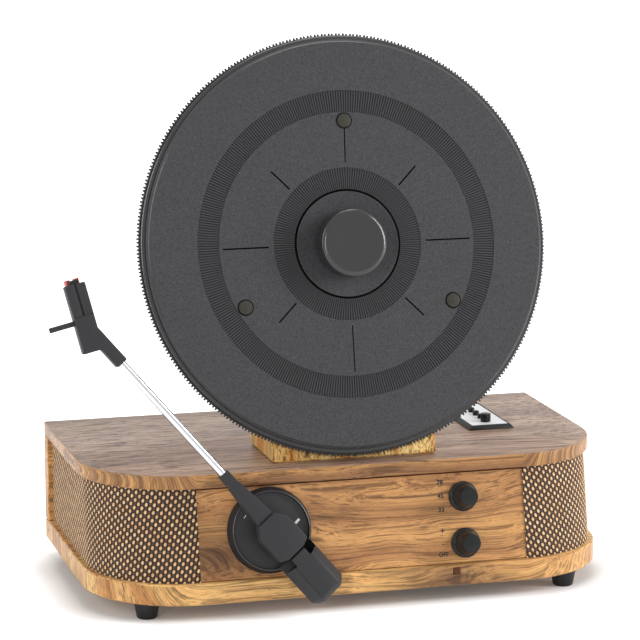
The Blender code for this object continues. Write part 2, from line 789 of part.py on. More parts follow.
def build_grille(label, side):
    low = FLOOR_OF_CASE + SEAT_GAP
    high = CEILING_OF_CASE - SEAT_GAP
    grille_band(label + "_grille_cloth", CLOTH, GRILLE_INSET, CLOTH_THICKNESS, side)
    inset = GRILLE_INSET + CLOTH_THICKNESS + SEAT_GAP
    frame = grille_band(label + "_grille_frame", BLACK, inset, FRAME_THICKNESS, side)
    middle = (low + high) / 2
    centre = (side * (BOARD_WIDTH / 2 - CORNER_RADIUS), front_edge(middle) + CORNER_RADIUS, middle)
    facing = (math.pi / 2, 0, side * math.pi / 4)
    reach = CORNER_RADIUS + OVERRUN
    window = turned(
        label + "_grille_window", None, origin,
        [(0, reach), (FRAME_WINDOW_RADIUS, reach), (FRAME_WINDOW_RADIUS, SPEAKER_BOARD_REACH),
         (0, SPEAKER_BOARD_REACH)],
        location=centre, rotation=facing,
    )
    cut(frame, window)

    corner = empty(label + "_speaker_axis", origin, centre, facing)
    tall = (high - low) / 2
    wide = SPEAKER_BOARD_WIDTH / 2
    plate(
        label + "_speaker_board", WALNUT, corner,
        [rectangle((-wide, -tall), (wide, tall)), circle((0, 0), SPEAKER_THROAT)],
        SPEAKER_BOARD_THICKNESS, (0, 0, SPEAKER_BOARD_REACH - SPEAKER_BOARD_THICKNESS / 2),
    )
    seat = SPEAKER_BOARD_REACH + SEAT_GAP
    back = seat - SPEAKER_BASKET_DEPTH
    basket = [
        (0, back + SPEAKER_WALL), (SPEAKER_NECK_RADIUS, back + SPEAKER_WALL),
        (SPEAKER_BASKET_RADIUS - SPEAKER_WALL, seat), (SPEAKER_BASKET_RADIUS - SPEAKER_WALL, seat + SPEAKER_FLANGE),
        (SPEAKER_RADIUS, seat + SPEAKER_FLANGE), (SPEAKER_RADIUS, seat), (SPEAKER_BASKET_RADIUS, seat),
        (SPEAKER_NECK_RADIUS + SPEAKER_WALL, back), (MAGNET_RADIUS, back),
        (MAGNET_RADIUS, back - MAGNET_DEPTH), (0, back - MAGNET_DEPTH),
    ]
    turned(label + "_speaker", STEEL, corner, basket, rotation=(0, 0, 0))
    edge = SPEAKER_BASKET_RADIUS - SPEAKER_WALL - SEAT_GAP
    lip = seat + SPEAKER_FLANGE
    throat = lip - CONE_DEPTH
    paper = [
        (0, throat + DUST_CAP_RISE), (CONE_THROAT / 2, throat + DUST_CAP_RISE / 2), (CONE_THROAT, throat),
        (edge - CONE_WALL, lip), (edge, lip), (CONE_THROAT + CONE_WALL, throat - CONE_WALL),
        (0, throat - CONE_WALL),
    ]
    turned(label + "_speaker_cone", PAPER, corner, paper, rotation=(0, 0, 0))


# Feet

def build_feet():
    front = front_edge(FLOOR_OF_CASE) + FOOT_SETBACK
    back = TOP_DEPTH - FOOT_BACK_MARGIN
    top = FOOT_HEIGHT - SEAT_GAP
    profile = [
        (0, top), (FOOT_TOP_RADIUS, top), (FOOT_BOTTOM_RADIUS, FOOT_EDGE), (FOOT_BOTTOM_RADIUS - FOOT_EDGE, 0),
        (FOOT_DIMPLE_RADIUS, 0), (FOOT_DIMPLE_RADIUS, FOOT_DIMPLE_DEPTH), (0, FOOT_DIMPLE_DEPTH),
    ]
    places = {
        "foot_front_left": (-FOOT_X, front), "foot_front_right": (FOOT_X, front),
        "foot_back_left": (-FOOT_X, back), "foot_back_right": (FOOT_X, back),
    }
    for name, (x, y) in places.items():
        turned(name, RUBBER, origin, profile, location=(x, y, 0), rotation=(0, 0, 0))


# Control unit on the top board

def build_control_unit():
    unit = empty("control_unit_frame", origin, (BEZEL_X, WELL_Y, TOP_Z + SEAT_GAP))
    wide = BEZEL_WIDTH / 2
    long = BEZEL_LENGTH / 2
    slope = BEZEL_SLOPE
    inner_wide = WELL_WIDTH / 2 - SEAT_GAP
    inner_long = WELL_LENGTH / 2 - SEAT_GAP
    sink = -CONTROL_WELL_DEPTH

    def ring(half_width, half_length, z):
        return [(x, y, z) for x, y in rectangle((-half_width, -half_length), (half_width, half_length))]

    bezel = loft("control_bezel", BLACK, unit, [
        ring(inner_wide, inner_long, sink), ring(inner_wide, inner_long, 0), ring(wide, long, 0),
        ring(wide - slope, long - slope, BEZEL_HEIGHT),
    ])
    seat_wide = wide - slope - BEZEL_LIP
    seat_long = long - slope - BEZEL_LIP
    face_top = BEZEL_HEIGHT - CONTROL_FACE_SINK
    ledge = face_top - CONTROL_FACE_THICKNESS - SEAT_GAP
    rebate = block(
        "bezel_rebate", None, unit,
        (-seat_wide, -seat_long, ledge), (seat_wide, seat_long, BEZEL_HEIGHT + OVERRUN),
    )
    well_wide = seat_wide - BEZEL_LEDGE
    well_long = seat_long - BEZEL_LEDGE
    well = block(
        "bezel_well", None, unit,
        (-well_wide, -well_long, sink + BEZEL_FLOOR), (well_wide, well_long, BEZEL_HEIGHT),
    )
    cut(bezel, rebate, well)

    button_y = [BUTTON_FIRST + BUTTON_PITCH * i - long for i in range(BUTTON_COUNT)]
    source_y = SOURCE_KNOB_FIRST - long
    holes = [circle((0, y), BUTTON_RADIUS + SEAT_GAP, SMALL_STEPS) for y in button_y]
    holes.append(circle((0, source_y), SOURCE_STEM_RADIUS + SEAT_GAP, SMALL_STEPS))
    edge_wide = seat_wide - SEAT_GAP
    edge_long = seat_long - SEAT_GAP
    plate(
        "control_face", WHITE, unit, [rectangle((-edge_wide, -edge_long), (edge_wide, edge_long)), *holes],
        CONTROL_FACE_THICKNESS, (0, 0, face_top - CONTROL_FACE_THICKNESS / 2),
    )
    under = -CONTROL_FACE_THICKNESS - SEAT_GAP
    cap = [
        (0, BUTTON_HEIGHT), (BUTTON_RADIUS - BUTTON_EDGE, BUTTON_HEIGHT), (BUTTON_RADIUS, BUTTON_HEIGHT - BUTTON_EDGE),
        (BUTTON_RADIUS, under), (BUTTON_FLANGE_RADIUS, under), (BUTTON_FLANGE_RADIUS, under - BUTTON_FLANGE),
        (0, under - BUTTON_FLANGE),
    ]
    for i, y in enumerate(button_y):
        place = (0, y, face_top)
        turned("push_button_%d" % (i + 1), BLACK, unit, cap, SMALL_STEPS, location=place, rotation=(0, 0, 0))
    knob_axis = empty("source_knob_axis", unit, (0, source_y, face_top))
    rim = fluted_outline(SOURCE_KNOB_RADIUS, SOURCE_KNOB_FLUTE, SOURCE_KNOB_FLUTES)
    stem = turned(
        "source_knob_stem", None, knob_axis,
        [(0, SOURCE_KNOB_HEIGHT / 2), (SOURCE_STEM_RADIUS, SOURCE_KNOB_HEIGHT / 2), (SOURCE_STEM_RADIUS, under),
         (0, under)],
        SMALL_STEPS, rotation=(0, 0, 0),
    )
    tall = SOURCE_KNOB_HEIGHT - SEAT_GAP
    knob = plate("source_knob", BLACK, knob_axis, [rim], tall, (0, 0, SEAT_GAP + tall / 2))
    cut(knob, stem, operation="UNION")


def fluted_outline(radius, depth, flutes):
    """A round outline with shallow flutes, the last point of each one sunk."""
    outline = []
    count = flutes * FLUTE_STEPS
    for i in range(count):
        angle = math.tau * i / count
        sunk = (i + 1) % FLUTE_STEPS == 0
        reach = radius - depth if sunk else radius
        outline.append((reach * math.cos(angle), reach * math.sin(angle)))
    return outline


# Upright column

def build_column():
    """The column leans with the platter and stands flat on the top board."""
    front = -PLATTER_BACK - PLATTER_RUN_GAP
    back = front - COLUMN_DEPTH
    half = COLUMN_WIDTH / 2

    def foot(rise):
        """Slope height at which a line of the column meets the top board."""
        return (TOP_Z + SEAT_GAP - PLATTER_Z - rise * SIN) / COS

    side = [(-front, foot(front)), (-back, foot(back)), (-back, COLUMN_RISE), (-front, COLUMN_RISE)]
    upright = (math.pi / 2, 0, math.pi / 2)
    shell = plate("column", WALNUT, lean, [side], COLUMN_WIDTH, rotation=upright)
    round_edges(shell, COLUMN_EDGE, 1)
    room_low = foot(back) + COLUMN_WALL
    room = block(
        "column_room", None, lean,
        (-half + COLUMN_WALL, -front + COLUMN_WALL, room_low),
        (half - COLUMN_WALL, -back + OVERRUN, COLUMN_RISE - COLUMN_WALL),
    )
    lip = COLUMN_COVER_LIP
    rebate = block(
        "cover_rebate", None, lean,
        (-half + COLUMN_WALL - lip - SEAT_GAP, -back - COLUMN_COVER - SEAT_GAP, room_low - lip - SEAT_GAP),
        (half - COLUMN_WALL + lip + SEAT_GAP, -back + OVERRUN, COLUMN_RISE - COLUMN_WALL + lip + SEAT_GAP),
    )
    bearing_hole = turned(
        "bearing_hole", None, lean,
        [(0, front + OVERRUN), (BEARING_RADIUS + SEAT_GAP, front + OVERRUN),
         (BEARING_RADIUS + SEAT_GAP, front - COLUMN_WALL - OVERRUN), (0, front - COLUMN_WALL - OVERRUN)],
    )
    reach = PULLEY_FLANGE_RADIUS + PULLEY_HOLE_CLEARANCE
    pulley_hole = turned(
        "pulley_hole", None, pulley_axis,
        [(0, front + OVERRUN), (reach, front + OVERRUN), (reach, front - COLUMN_WALL - OVERRUN),
         (0, front - COLUMN_WALL - OVERRUN)],
    )
    cable_top = TOP_Z + COLUMN_WALL + COLUMN_DEPTH * TAN + OVERRUN
    cable = turned(
        "column_cable_hole", None, origin,
        [(0, cable_top), (CABLE_HOLE_RADIUS, cable_top), (CABLE_HOLE_RADIUS, TOP_Z - OVERRUN),
         (0, TOP_Z - OVERRUN)],
        SMALL_STEPS, location=(0, COLUMN_FOOT_Y, 0), rotation=(0, 0, 0),
    )
    cut(shell, room, rebate, bearing_hole, pulley_hole, cable)
    cover = block(
        "column_back_cover", WALNUT, lean,
        (-half + COLUMN_WALL - lip, -back - COLUMN_COVER, room_low - lip),
        (half - COLUMN_WALL + lip, -back, COLUMN_RISE - COLUMN_WALL + lip),
    )
    round_edges(cover, BOARD_EDGE / 2, 1)


# Platter, mat and clamp

def tooth_outline():
    """The toothed edge: a tip and a root for each tooth."""
    outline = []
    for i in range(2 * TOOTH_COUNT):
        angle = math.pi * i / TOOTH_COUNT
        radius = TOOTH_ROOT_RADIUS if i % 2 else TOOTH_TIP_RADIUS
        outline.append((radius * math.cos(angle), radius * math.sin(angle)))
    return outline


def build_platter():
    ring_back = -PLATTER_BACK
    ring_face = ring_back + TOOTH_RING_THICKNESS
    plate(
        "tooth_ring", DARK_GREY, platter_axis,
        [tooth_outline(), circle((0, 0), TOOTH_RING_INNER, PLATTER_STEPS)],
        TOOTH_RING_THICKNESS, (0, -(ring_back + ring_face) / 2, 0), FACE_OUT,
    )
    seat = ring_face + SEAT_GAP
    under = DECK_RISE - PLATTER_PLATE
    rim_inner = PLATTER_RADIUS - PLATTER_BEVEL - RIM_WIDTH
    deck_edge = rim_inner - RIM_GROOVE_WIDTH
    groove_floor = PLATTER_BEVEL - RIM_GROOVE_DEPTH
    skirt_outer = TOOTH_RING_INNER - SEAT_GAP
    skirt_inner = skirt_outer - PLATTER_SKIRT
    drive_inner = DRIVE_RING_RADIUS - DRIVE_RING_WALL
    back = -PLATTER_BACK + RUN_GAP
    bore = SPINDLE_SHAFT_RADIUS + SEAT_GAP
    profile = [
        (bore, DECK_RISE), (deck_edge, DECK_RISE), (deck_edge, groove_floor), (rim_inner, groove_floor),
        (rim_inner, PLATTER_BEVEL), (PLATTER_RADIUS - PLATTER_BEVEL, PLATTER_BEVEL), (PLATTER_RADIUS, 0),
        (PLATTER_RADIUS, seat), (skirt_outer, seat), (skirt_outer, back), (skirt_inner, back),
        (skirt_inner, under), (DRIVE_RING_RADIUS, under), (DRIVE_RING_RADIUS, back), (drive_inner, back),
        (drive_inner, under), (HUB_RADIUS, under), (HUB_RADIUS, back), (bore, back),
    ]
    turned("platter", DARK_GREY, platter_axis, profile, PLATTER_STEPS, ring=True)

    base = DECK_RISE + SEAT_GAP
    face = MAT_FACE
    low = face - BAND_SINK
    sunk = face - DISH_DEPTH
    hub = INNER_BAND_INNER
    groove = HUB_GROOVE_WIDTH
    pin = SPINDLE_RADIUS + SEAT_GAP
    profile = [
        (pin, sunk), (DISH_RADIUS, sunk), (hub - groove, face), (hub - groove, face - HUB_GROOVE_DEPTH),
        (hub, face - HUB_GROOVE_DEPTH), (hub, low), (INNER_BAND_OUTER, low), (INNER_BAND_OUTER, face),
        (OUTER_BAND_INNER, face), (OUTER_BAND_INNER, low), (OUTER_BAND_OUTER, low), (OUTER_BAND_OUTER, face),
        (deck_edge - MAT_EDGE, face), (deck_edge, face - MAT_EDGE), (deck_edge, base), (pin, base),
    ]
    mat = turned("platter_mat", DARK_GREY, platter_axis, profile, PLATTER_STEPS, ring=True)

    stem_low = base
    hole = STUD_STEM_RADIUS + SEAT_GAP
    head = [
        (0, face + STUD_HEAD), (STUD_RADIUS - STUD_EDGE, face + STUD_HEAD),
        (STUD_RADIUS, face + STUD_HEAD - STUD_EDGE), (STUD_RADIUS, face + SEAT_GAP),
        (STUD_STEM_RADIUS, face + SEAT_GAP), (STUD_STEM_RADIUS, stem_low), (0, stem_low),
    ]
    for i, angle in enumerate(STUD_ANGLES):
        place = (STUD_CIRCLE * math.cos(angle), 0, STUD_CIRCLE * math.sin(angle))
        turned("mat_stud_%d" % (i + 1), OLIVE, platter_axis, head, SMALL_STEPS, location=place)
        bore_tool = turned(
            "stud_hole_%d" % (i + 1), None, platter_axis,
            [(0, face + OVERRUN), (hole, face + OVERRUN), (hole, stem_low - SEAT_GAP), (0, stem_low - SEAT_GAP)],
            SMALL_STEPS, location=place,
        )
        cut(mat, bore_tool)


def build_clamp():
    base = MAT_FACE - DISH_DEPTH + SEAT_GAP
    face = MAT_FACE + CLAMP_FACE_RISE
    bore = SPINDLE_RADIUS + SEAT_GAP
    profile = [
        (0, face), (CLAMP_RADIUS - CLAMP_EDGE, face), (CLAMP_RADIUS, face - CLAMP_EDGE),
        (CLAMP_RADIUS, base + CLAMP_EDGE), (CLAMP_BASE_RADIUS, base), (bore, base),
        (bore, base + CLAMP_BORE_DEPTH), (0, base + CLAMP_BORE_DEPTH),
    ]
    turned("record_clamp", BLACK, clamp_axis, profile, FINE_STEPS)


# Spindle, bearing, motor, pulley and belt

def build_drive():
    front = -PLATTER_BACK - PLATTER_RUN_GAP
    inner = front - COLUMN_WALL
    tip = MAT_FACE - DISH_DEPTH + SPINDLE_ABOVE_MAT
    end = tip - SPINDLE_LENGTH
    profile = [
        (0, tip), (SPINDLE_RADIUS - SPINDLE_TIP, tip), (SPINDLE_RADIUS, tip - SPINDLE_TIP),
        (SPINDLE_RADIUS, DECK_RISE), (SPINDLE_SHAFT_RADIUS, DECK_RISE), (SPINDLE_SHAFT_RADIUS, end), (0, end),
    ]
    turned("spindle", STEEL, platter_axis, profile, SMALL_STEPS)
    bore = SPINDLE_SHAFT_RADIUS + SEAT_GAP
    flange = inner - SEAT_GAP
    barrel = flange - BEARING_FLANGE
    face = front - SEAT_GAP
    profile = [
        (bore, face), (BEARING_RADIUS, face), (BEARING_RADIUS, flange), (BEARING_FLANGE_RADIUS, flange),
        (BEARING_FLANGE_RADIUS, barrel), (BEARING_RADIUS, barrel), (BEARING_RADIUS, face - BEARING_LENGTH),
        (0, face - BEARING_LENGTH), (0, end - SEAT_GAP), (bore, end - SEAT_GAP),
    ]
    turned("spindle_bearing", STEEL, lean, profile, ring=True)

    motor_face = inner - SEAT_GAP
    boss = MOTOR_BOSS_RADIUS
    boss_face = front - PULLEY_FLANGE
    profile = [
        (0, boss_face), (boss, boss_face), (boss, motor_face), (MOTOR_RADIUS - MOTOR_EDGE, motor_face),
        (MOTOR_RADIUS, motor_face - MOTOR_EDGE), (MOTOR_RADIUS, motor_face - MOTOR_LENGTH + MOTOR_EDGE),
        (MOTOR_RADIUS - MOTOR_EDGE, motor_face - MOTOR_LENGTH), (0, motor_face - MOTOR_LENGTH),
    ]
    turned("motor", STEEL, lean, profile, location=(0, 0, -MOTOR_DROP))
    belt_low = -PLATTER_BACK + BELT_BACK + PULLEY_FLANGE
    belt_high = belt_low + BELT_WIDTH
    low = boss_face + SEAT_GAP
    high = belt_high + SEAT_GAP
    profile = [
        (0, high + PULLEY_FLANGE), (PULLEY_FLANGE_RADIUS, high + PULLEY_FLANGE), (PULLEY_FLANGE_RADIUS, high),
        (PULLEY_RADIUS, high), (PULLEY_RADIUS, belt_low - SEAT_GAP),
        (PULLEY_FLANGE_RADIUS, belt_low - SEAT_GAP), (PULLEY_FLANGE_RADIUS, low), (0, low),
    ]
    turned("motor_pulley", STEEL, pulley_axis, profile)

    ring_radius = DRIVE_RING_RADIUS + SEAT_GAP
    wheel_radius = PULLEY_RADIUS + SEAT_GAP
    belt = [belt_outline(ring_radius + BELT_THICKNESS, wheel_radius + BELT_THICKNESS),
            belt_outline(ring_radius, wheel_radius)]
    plate(
        "drive_belt", RUBBER, lean, belt, BELT_WIDTH, (0, -(belt_low + belt_high) / 2, 0), FACE_OUT,
    )


def belt_outline(big, small):
    """A belt round the drive ring at the centre and the pulley below it."""
    wrap = math.asin((big - small) / MOTOR_DROP)
    over = arc((0, 0), big, -wrap, math.pi + wrap, BELT_STEPS)
    under = arc((0, -MOTOR_DROP), small, math.pi + wrap, math.tau - wrap, PULLEY_STEPS)
    return over + under


# Knobs on the front panel

def build_knobs():
    bush = CONTROL_BUSH_RADIUS
    shaft_end = KNOB_BORE_DEPTH
    body = -PANEL_THICKNESS - SEAT_GAP
    for name, frame, maker in (("speed", speed_axis, "speed_switch"), ("volume", volume_axis, "volume_control")):
        low = SEAT_GAP
        rim = fluted_outline(KNOB_BARREL_RADIUS, KNOB_FLUTE_DEPTH, KNOB_FLUTES)
        tall = KNOB_HEIGHT - KNOB_SKIRT - low
        barrel = plate(
            name + "_knob", BLACK, frame, [rim], tall, (0, -(KNOB_SKIRT + low + tall / 2), 0), FACE_OUT,
        )
        skirt = turned(
            name + "_knob_skirt", None, frame,
            [(0, KNOB_SKIRT + low + KNOB_EDGE), (KNOB_FACE_RADIUS, KNOB_SKIRT + low + KNOB_EDGE),
             (KNOB_SKIRT_RADIUS - KNOB_EDGE, KNOB_SKIRT + low), (KNOB_SKIRT_RADIUS, KNOB_SKIRT + low - KNOB_EDGE),
             (KNOB_SKIRT_RADIUS, low), (0, low)],
            ROUND_STEPS,
        )
        crown = turned(
            name + "_knob_crown", None, frame,
            [(KNOB_FACE_RADIUS, KNOB_HEIGHT + OVERRUN), (KNOB_SKIRT_RADIUS, KNOB_HEIGHT + OVERRUN),
             (KNOB_SKIRT_RADIUS, KNOB_SKIRT + low + KNOB_EDGE), (KNOB_BARREL_RADIUS, KNOB_SKIRT + low + KNOB_EDGE),
             (KNOB_FACE_RADIUS, KNOB_HEIGHT)],
            ROUND_STEPS, ring=True,
        )
        socket = turned(
            name + "_knob_socket", None, frame,
            [(0, low + KNOB_BORE_DEPTH), (KNOB_SHAFT_RADIUS + SEAT_GAP, low + KNOB_BORE_DEPTH),
             (KNOB_SHAFT_RADIUS + SEAT_GAP, -OVERRUN), (0, -OVERRUN)],
            ROUND_STEPS,
        )
        cut(barrel, skirt, operation="UNION")
        cut(barrel, crown, socket)
        turned(
            maker, STEEL, frame,
            [(0, shaft_end), (KNOB_SHAFT_RADIUS, shaft_end), (KNOB_SHAFT_RADIUS, 0), (bush, 0),
             (bush, body), (CONTROL_BODY_RADIUS, body), (CONTROL_BODY_RADIUS, body - CONTROL_BODY_DEPTH),
             (0, body - CONTROL_BODY_DEPTH)],
            ROUND_STEPS,
        )


# Tonearm

def build_tonearm_base():
    low = SEAT_GAP
    post = ARM_AXIS_RISE - YOKE_EAR_RISE - YOKE_PLATE - SEAT_GAP - TILT_PIN_RADIUS
    floor = DRUM_HEIGHT - DRUM_DISH_DEPTH
    profile = [
        (DRUM_BORE_RADIUS, post), (DRUM_POST_RADIUS, post), (DRUM_POST_RADIUS + DRUM_EDGE, floor),
        (DRUM_FLOOR_RADIUS, floor), (DRUM_FACE_RADIUS - DRUM_RIM, DRUM_HEIGHT), (DRUM_FACE_RADIUS, DRUM_HEIGHT),
        (DRUM_RADIUS, low + DRUM_EDGE), (DRUM_RADIUS, low),
        (DRUM_TAIL_RADIUS, low), (DRUM_TAIL_RADIUS, -DRUM_TAIL_LENGTH), (DRUM_BORE_RADIUS, -DRUM_TAIL_LENGTH),
    ]
    turned("tonearm_base", BLACK, swing_axis, profile, FINE_STEPS, ring=True)

    stem = DRUM_BORE_RADIUS - RUN_GAP
    seat = post + SEAT_GAP
    disc = turned(
        "tonearm_yoke", BLACK, swing_axis,
        [(0, seat + YOKE_PLATE), (YOKE_PLATE_RADIUS, seat + YOKE_PLATE), (YOKE_PLATE_RADIUS, seat), (stem, seat),
         (stem, -DRUM_TAIL_LENGTH), (0, -DRUM_TAIL_LENGTH)],
        YOKE_STEPS,
    )
    ears = []
    for name, side in (("left", -1), ("right", 1)):
        near = side * YOKE_EAR_SPREAD
        far = side * (YOKE_EAR_SPREAD - YOKE_EAR_THICKNESS)
        ears.append(block(
            "yoke_ear_" + name, None, swing_axis,
            (min(near, far), -ARM_AXIS_RISE - YOKE_EAR_RISE, -YOKE_EAR_WIDTH / 2),
            (max(near, far), -seat - YOKE_PLATE / 2, YOKE_EAR_WIDTH / 2),
        ))
    bore = turned(
        "yoke_pin_bore", None, tilt_axis,
        [(0, HOUSING_HALF_WIDTH), (TILT_PIN_RADIUS + SEAT_GAP, HOUSING_HALF_WIDTH),
         (TILT_PIN_RADIUS + SEAT_GAP, -HOUSING_HALF_WIDTH), (0, -HOUSING_HALF_WIDTH)],
        SMALL_STEPS, rotation=(0, math.pi / 2, 0),
    )
    cut(disc, *ears, operation="UNION")
    cut(disc, bore)
    reach = HOUSING_HALF_WIDTH - HOUSING_WALL - SEAT_GAP
    turned(
        "tilt_pin", STEEL, tilt_axis,
        [(0, reach), (TILT_PIN_RADIUS, reach), (TILT_PIN_RADIUS, -reach), (0, -reach)],
        SMALL_STEPS, rotation=(0, math.pi / 2, 0),
    )


def arm_height(rise):
    """Local y, in the tilt frame, of a height above the front panel."""
    return ARM_AXIS_RISE - rise


def build_tonearm():
    top = arm_height(HOUSING_TOP_RISE)
    bottom = arm_height(HOUSING_BOTTOM_RISE)
    outline = [
        (-HOUSING_NOSE_HALF, HOUSING_NOSE), (-HOUSING_HALF_WIDTH, HOUSING_SHOULDER),
        (-HOUSING_HALF_WIDTH, -HOUSING_HEEL), (-HOUSING_TAIL_HALF, -HOUSING_TAIL),
        (HOUSING_TAIL_HALF, -HOUSING_TAIL), (HOUSING_HALF_WIDTH, -HOUSING_HEEL),
        (HOUSING_HALF_WIDTH, HOUSING_SHOULDER), (HOUSING_NOSE_HALF, HOUSING_NOSE),
    ]
    middle = (top + bottom) / 2
    housing = plate(
        "tonearm_housing", BLACK, tilt_axis, [outline], bottom - top, (0, middle, 0), FACE_OUT,
    )
    round_edges(housing, HOUSING_EDGE, 1)
    wall = HOUSING_WALL
    shrink = [
        (x - math.copysign(wall, x), z - math.copysign(wall, z)) for x, z in outline
    ]
    hollow = plate(
        "housing_hollow", None, tilt_axis, [shrink], bottom - top, (0, middle + wall, 0), FACE_OUT,
    )
    stub_start = HOUSING_TAIL - HOUSING_WALL - STUB_INSERT
    stub_end = WEIGHT_END / 2 + STUB_INSERT - SEAT_GAP
    stub = turned(
        "counterweight_stub", None, tilt_axis,
        [(0, -stub_start), (STUB_RADIUS, -stub_start), (STUB_RADIUS, -stub_end), (0, -stub_end)],
        SMALL_STEPS, rotation=(0, 0, 0),
    )
    cut(housing, hollow)
    cut(housing, stub, operation="UNION")

    def section(half, tall, z):
        return [(x, y, z) for x, y in rectangle((-half, -tall), (half, tall))]

    root = HOUSING_NOSE + SEAT_GAP
    sleeve = loft("tonearm_sleeve", BLACK, tilt_axis, [
        section(SLEEVE_ROOT_HALF, SLEEVE_ROOT_TALL, root),
        section(SLEEVE_STEP_HALF, SLEEVE_TIP_TALL, SLEEVE_STEP),
        section(SLEEVE_TIP_HALF, SLEEVE_TIP_TALL - SLEEVE_EDGE, SLEEVE_STEP),
        section(SLEEVE_TIP_HALF, SLEEVE_TIP_TALL - SLEEVE_EDGE, SLEEVE_TIP),
    ])
    round_edges(sleeve, SLEEVE_EDGE / 2, 1)
    tube_start = SLEEVE_TIP - TUBE_SOCKET
    bore = turned(
        "sleeve_bore", None, tilt_axis,
        [(0, SLEEVE_TIP + OVERRUN), (TUBE_RADIUS + SEAT_GAP, SLEEVE_TIP + OVERRUN),
         (TUBE_RADIUS + SEAT_GAP, tube_start - SEAT_GAP), (0, tube_start - SEAT_GAP)],
        SMALL_STEPS, rotation=(0, 0, 0),
    )
    cut(sleeve, bore)
    inside = TUBE_RADIUS - TUBE_WALL
    turned(
        "tonearm_tube", SILVER, tilt_axis,
        [(inside, TUBE_END), (TUBE_RADIUS, TUBE_END), (TUBE_RADIUS, tube_start), (inside, tube_start)],
        SMALL_STEPS, ring=True, rotation=(0, 0, 0),
    )
    build_headshell()
    build_counterweight()


def shell_point(side, along):
    """A place on the headshell, given across and along the shell, in the tilt frame."""
    spin = Matrix.Rotation(SHELL_OFFSET, 3, "Y")
    return spin @ Vector((side, 0, along))


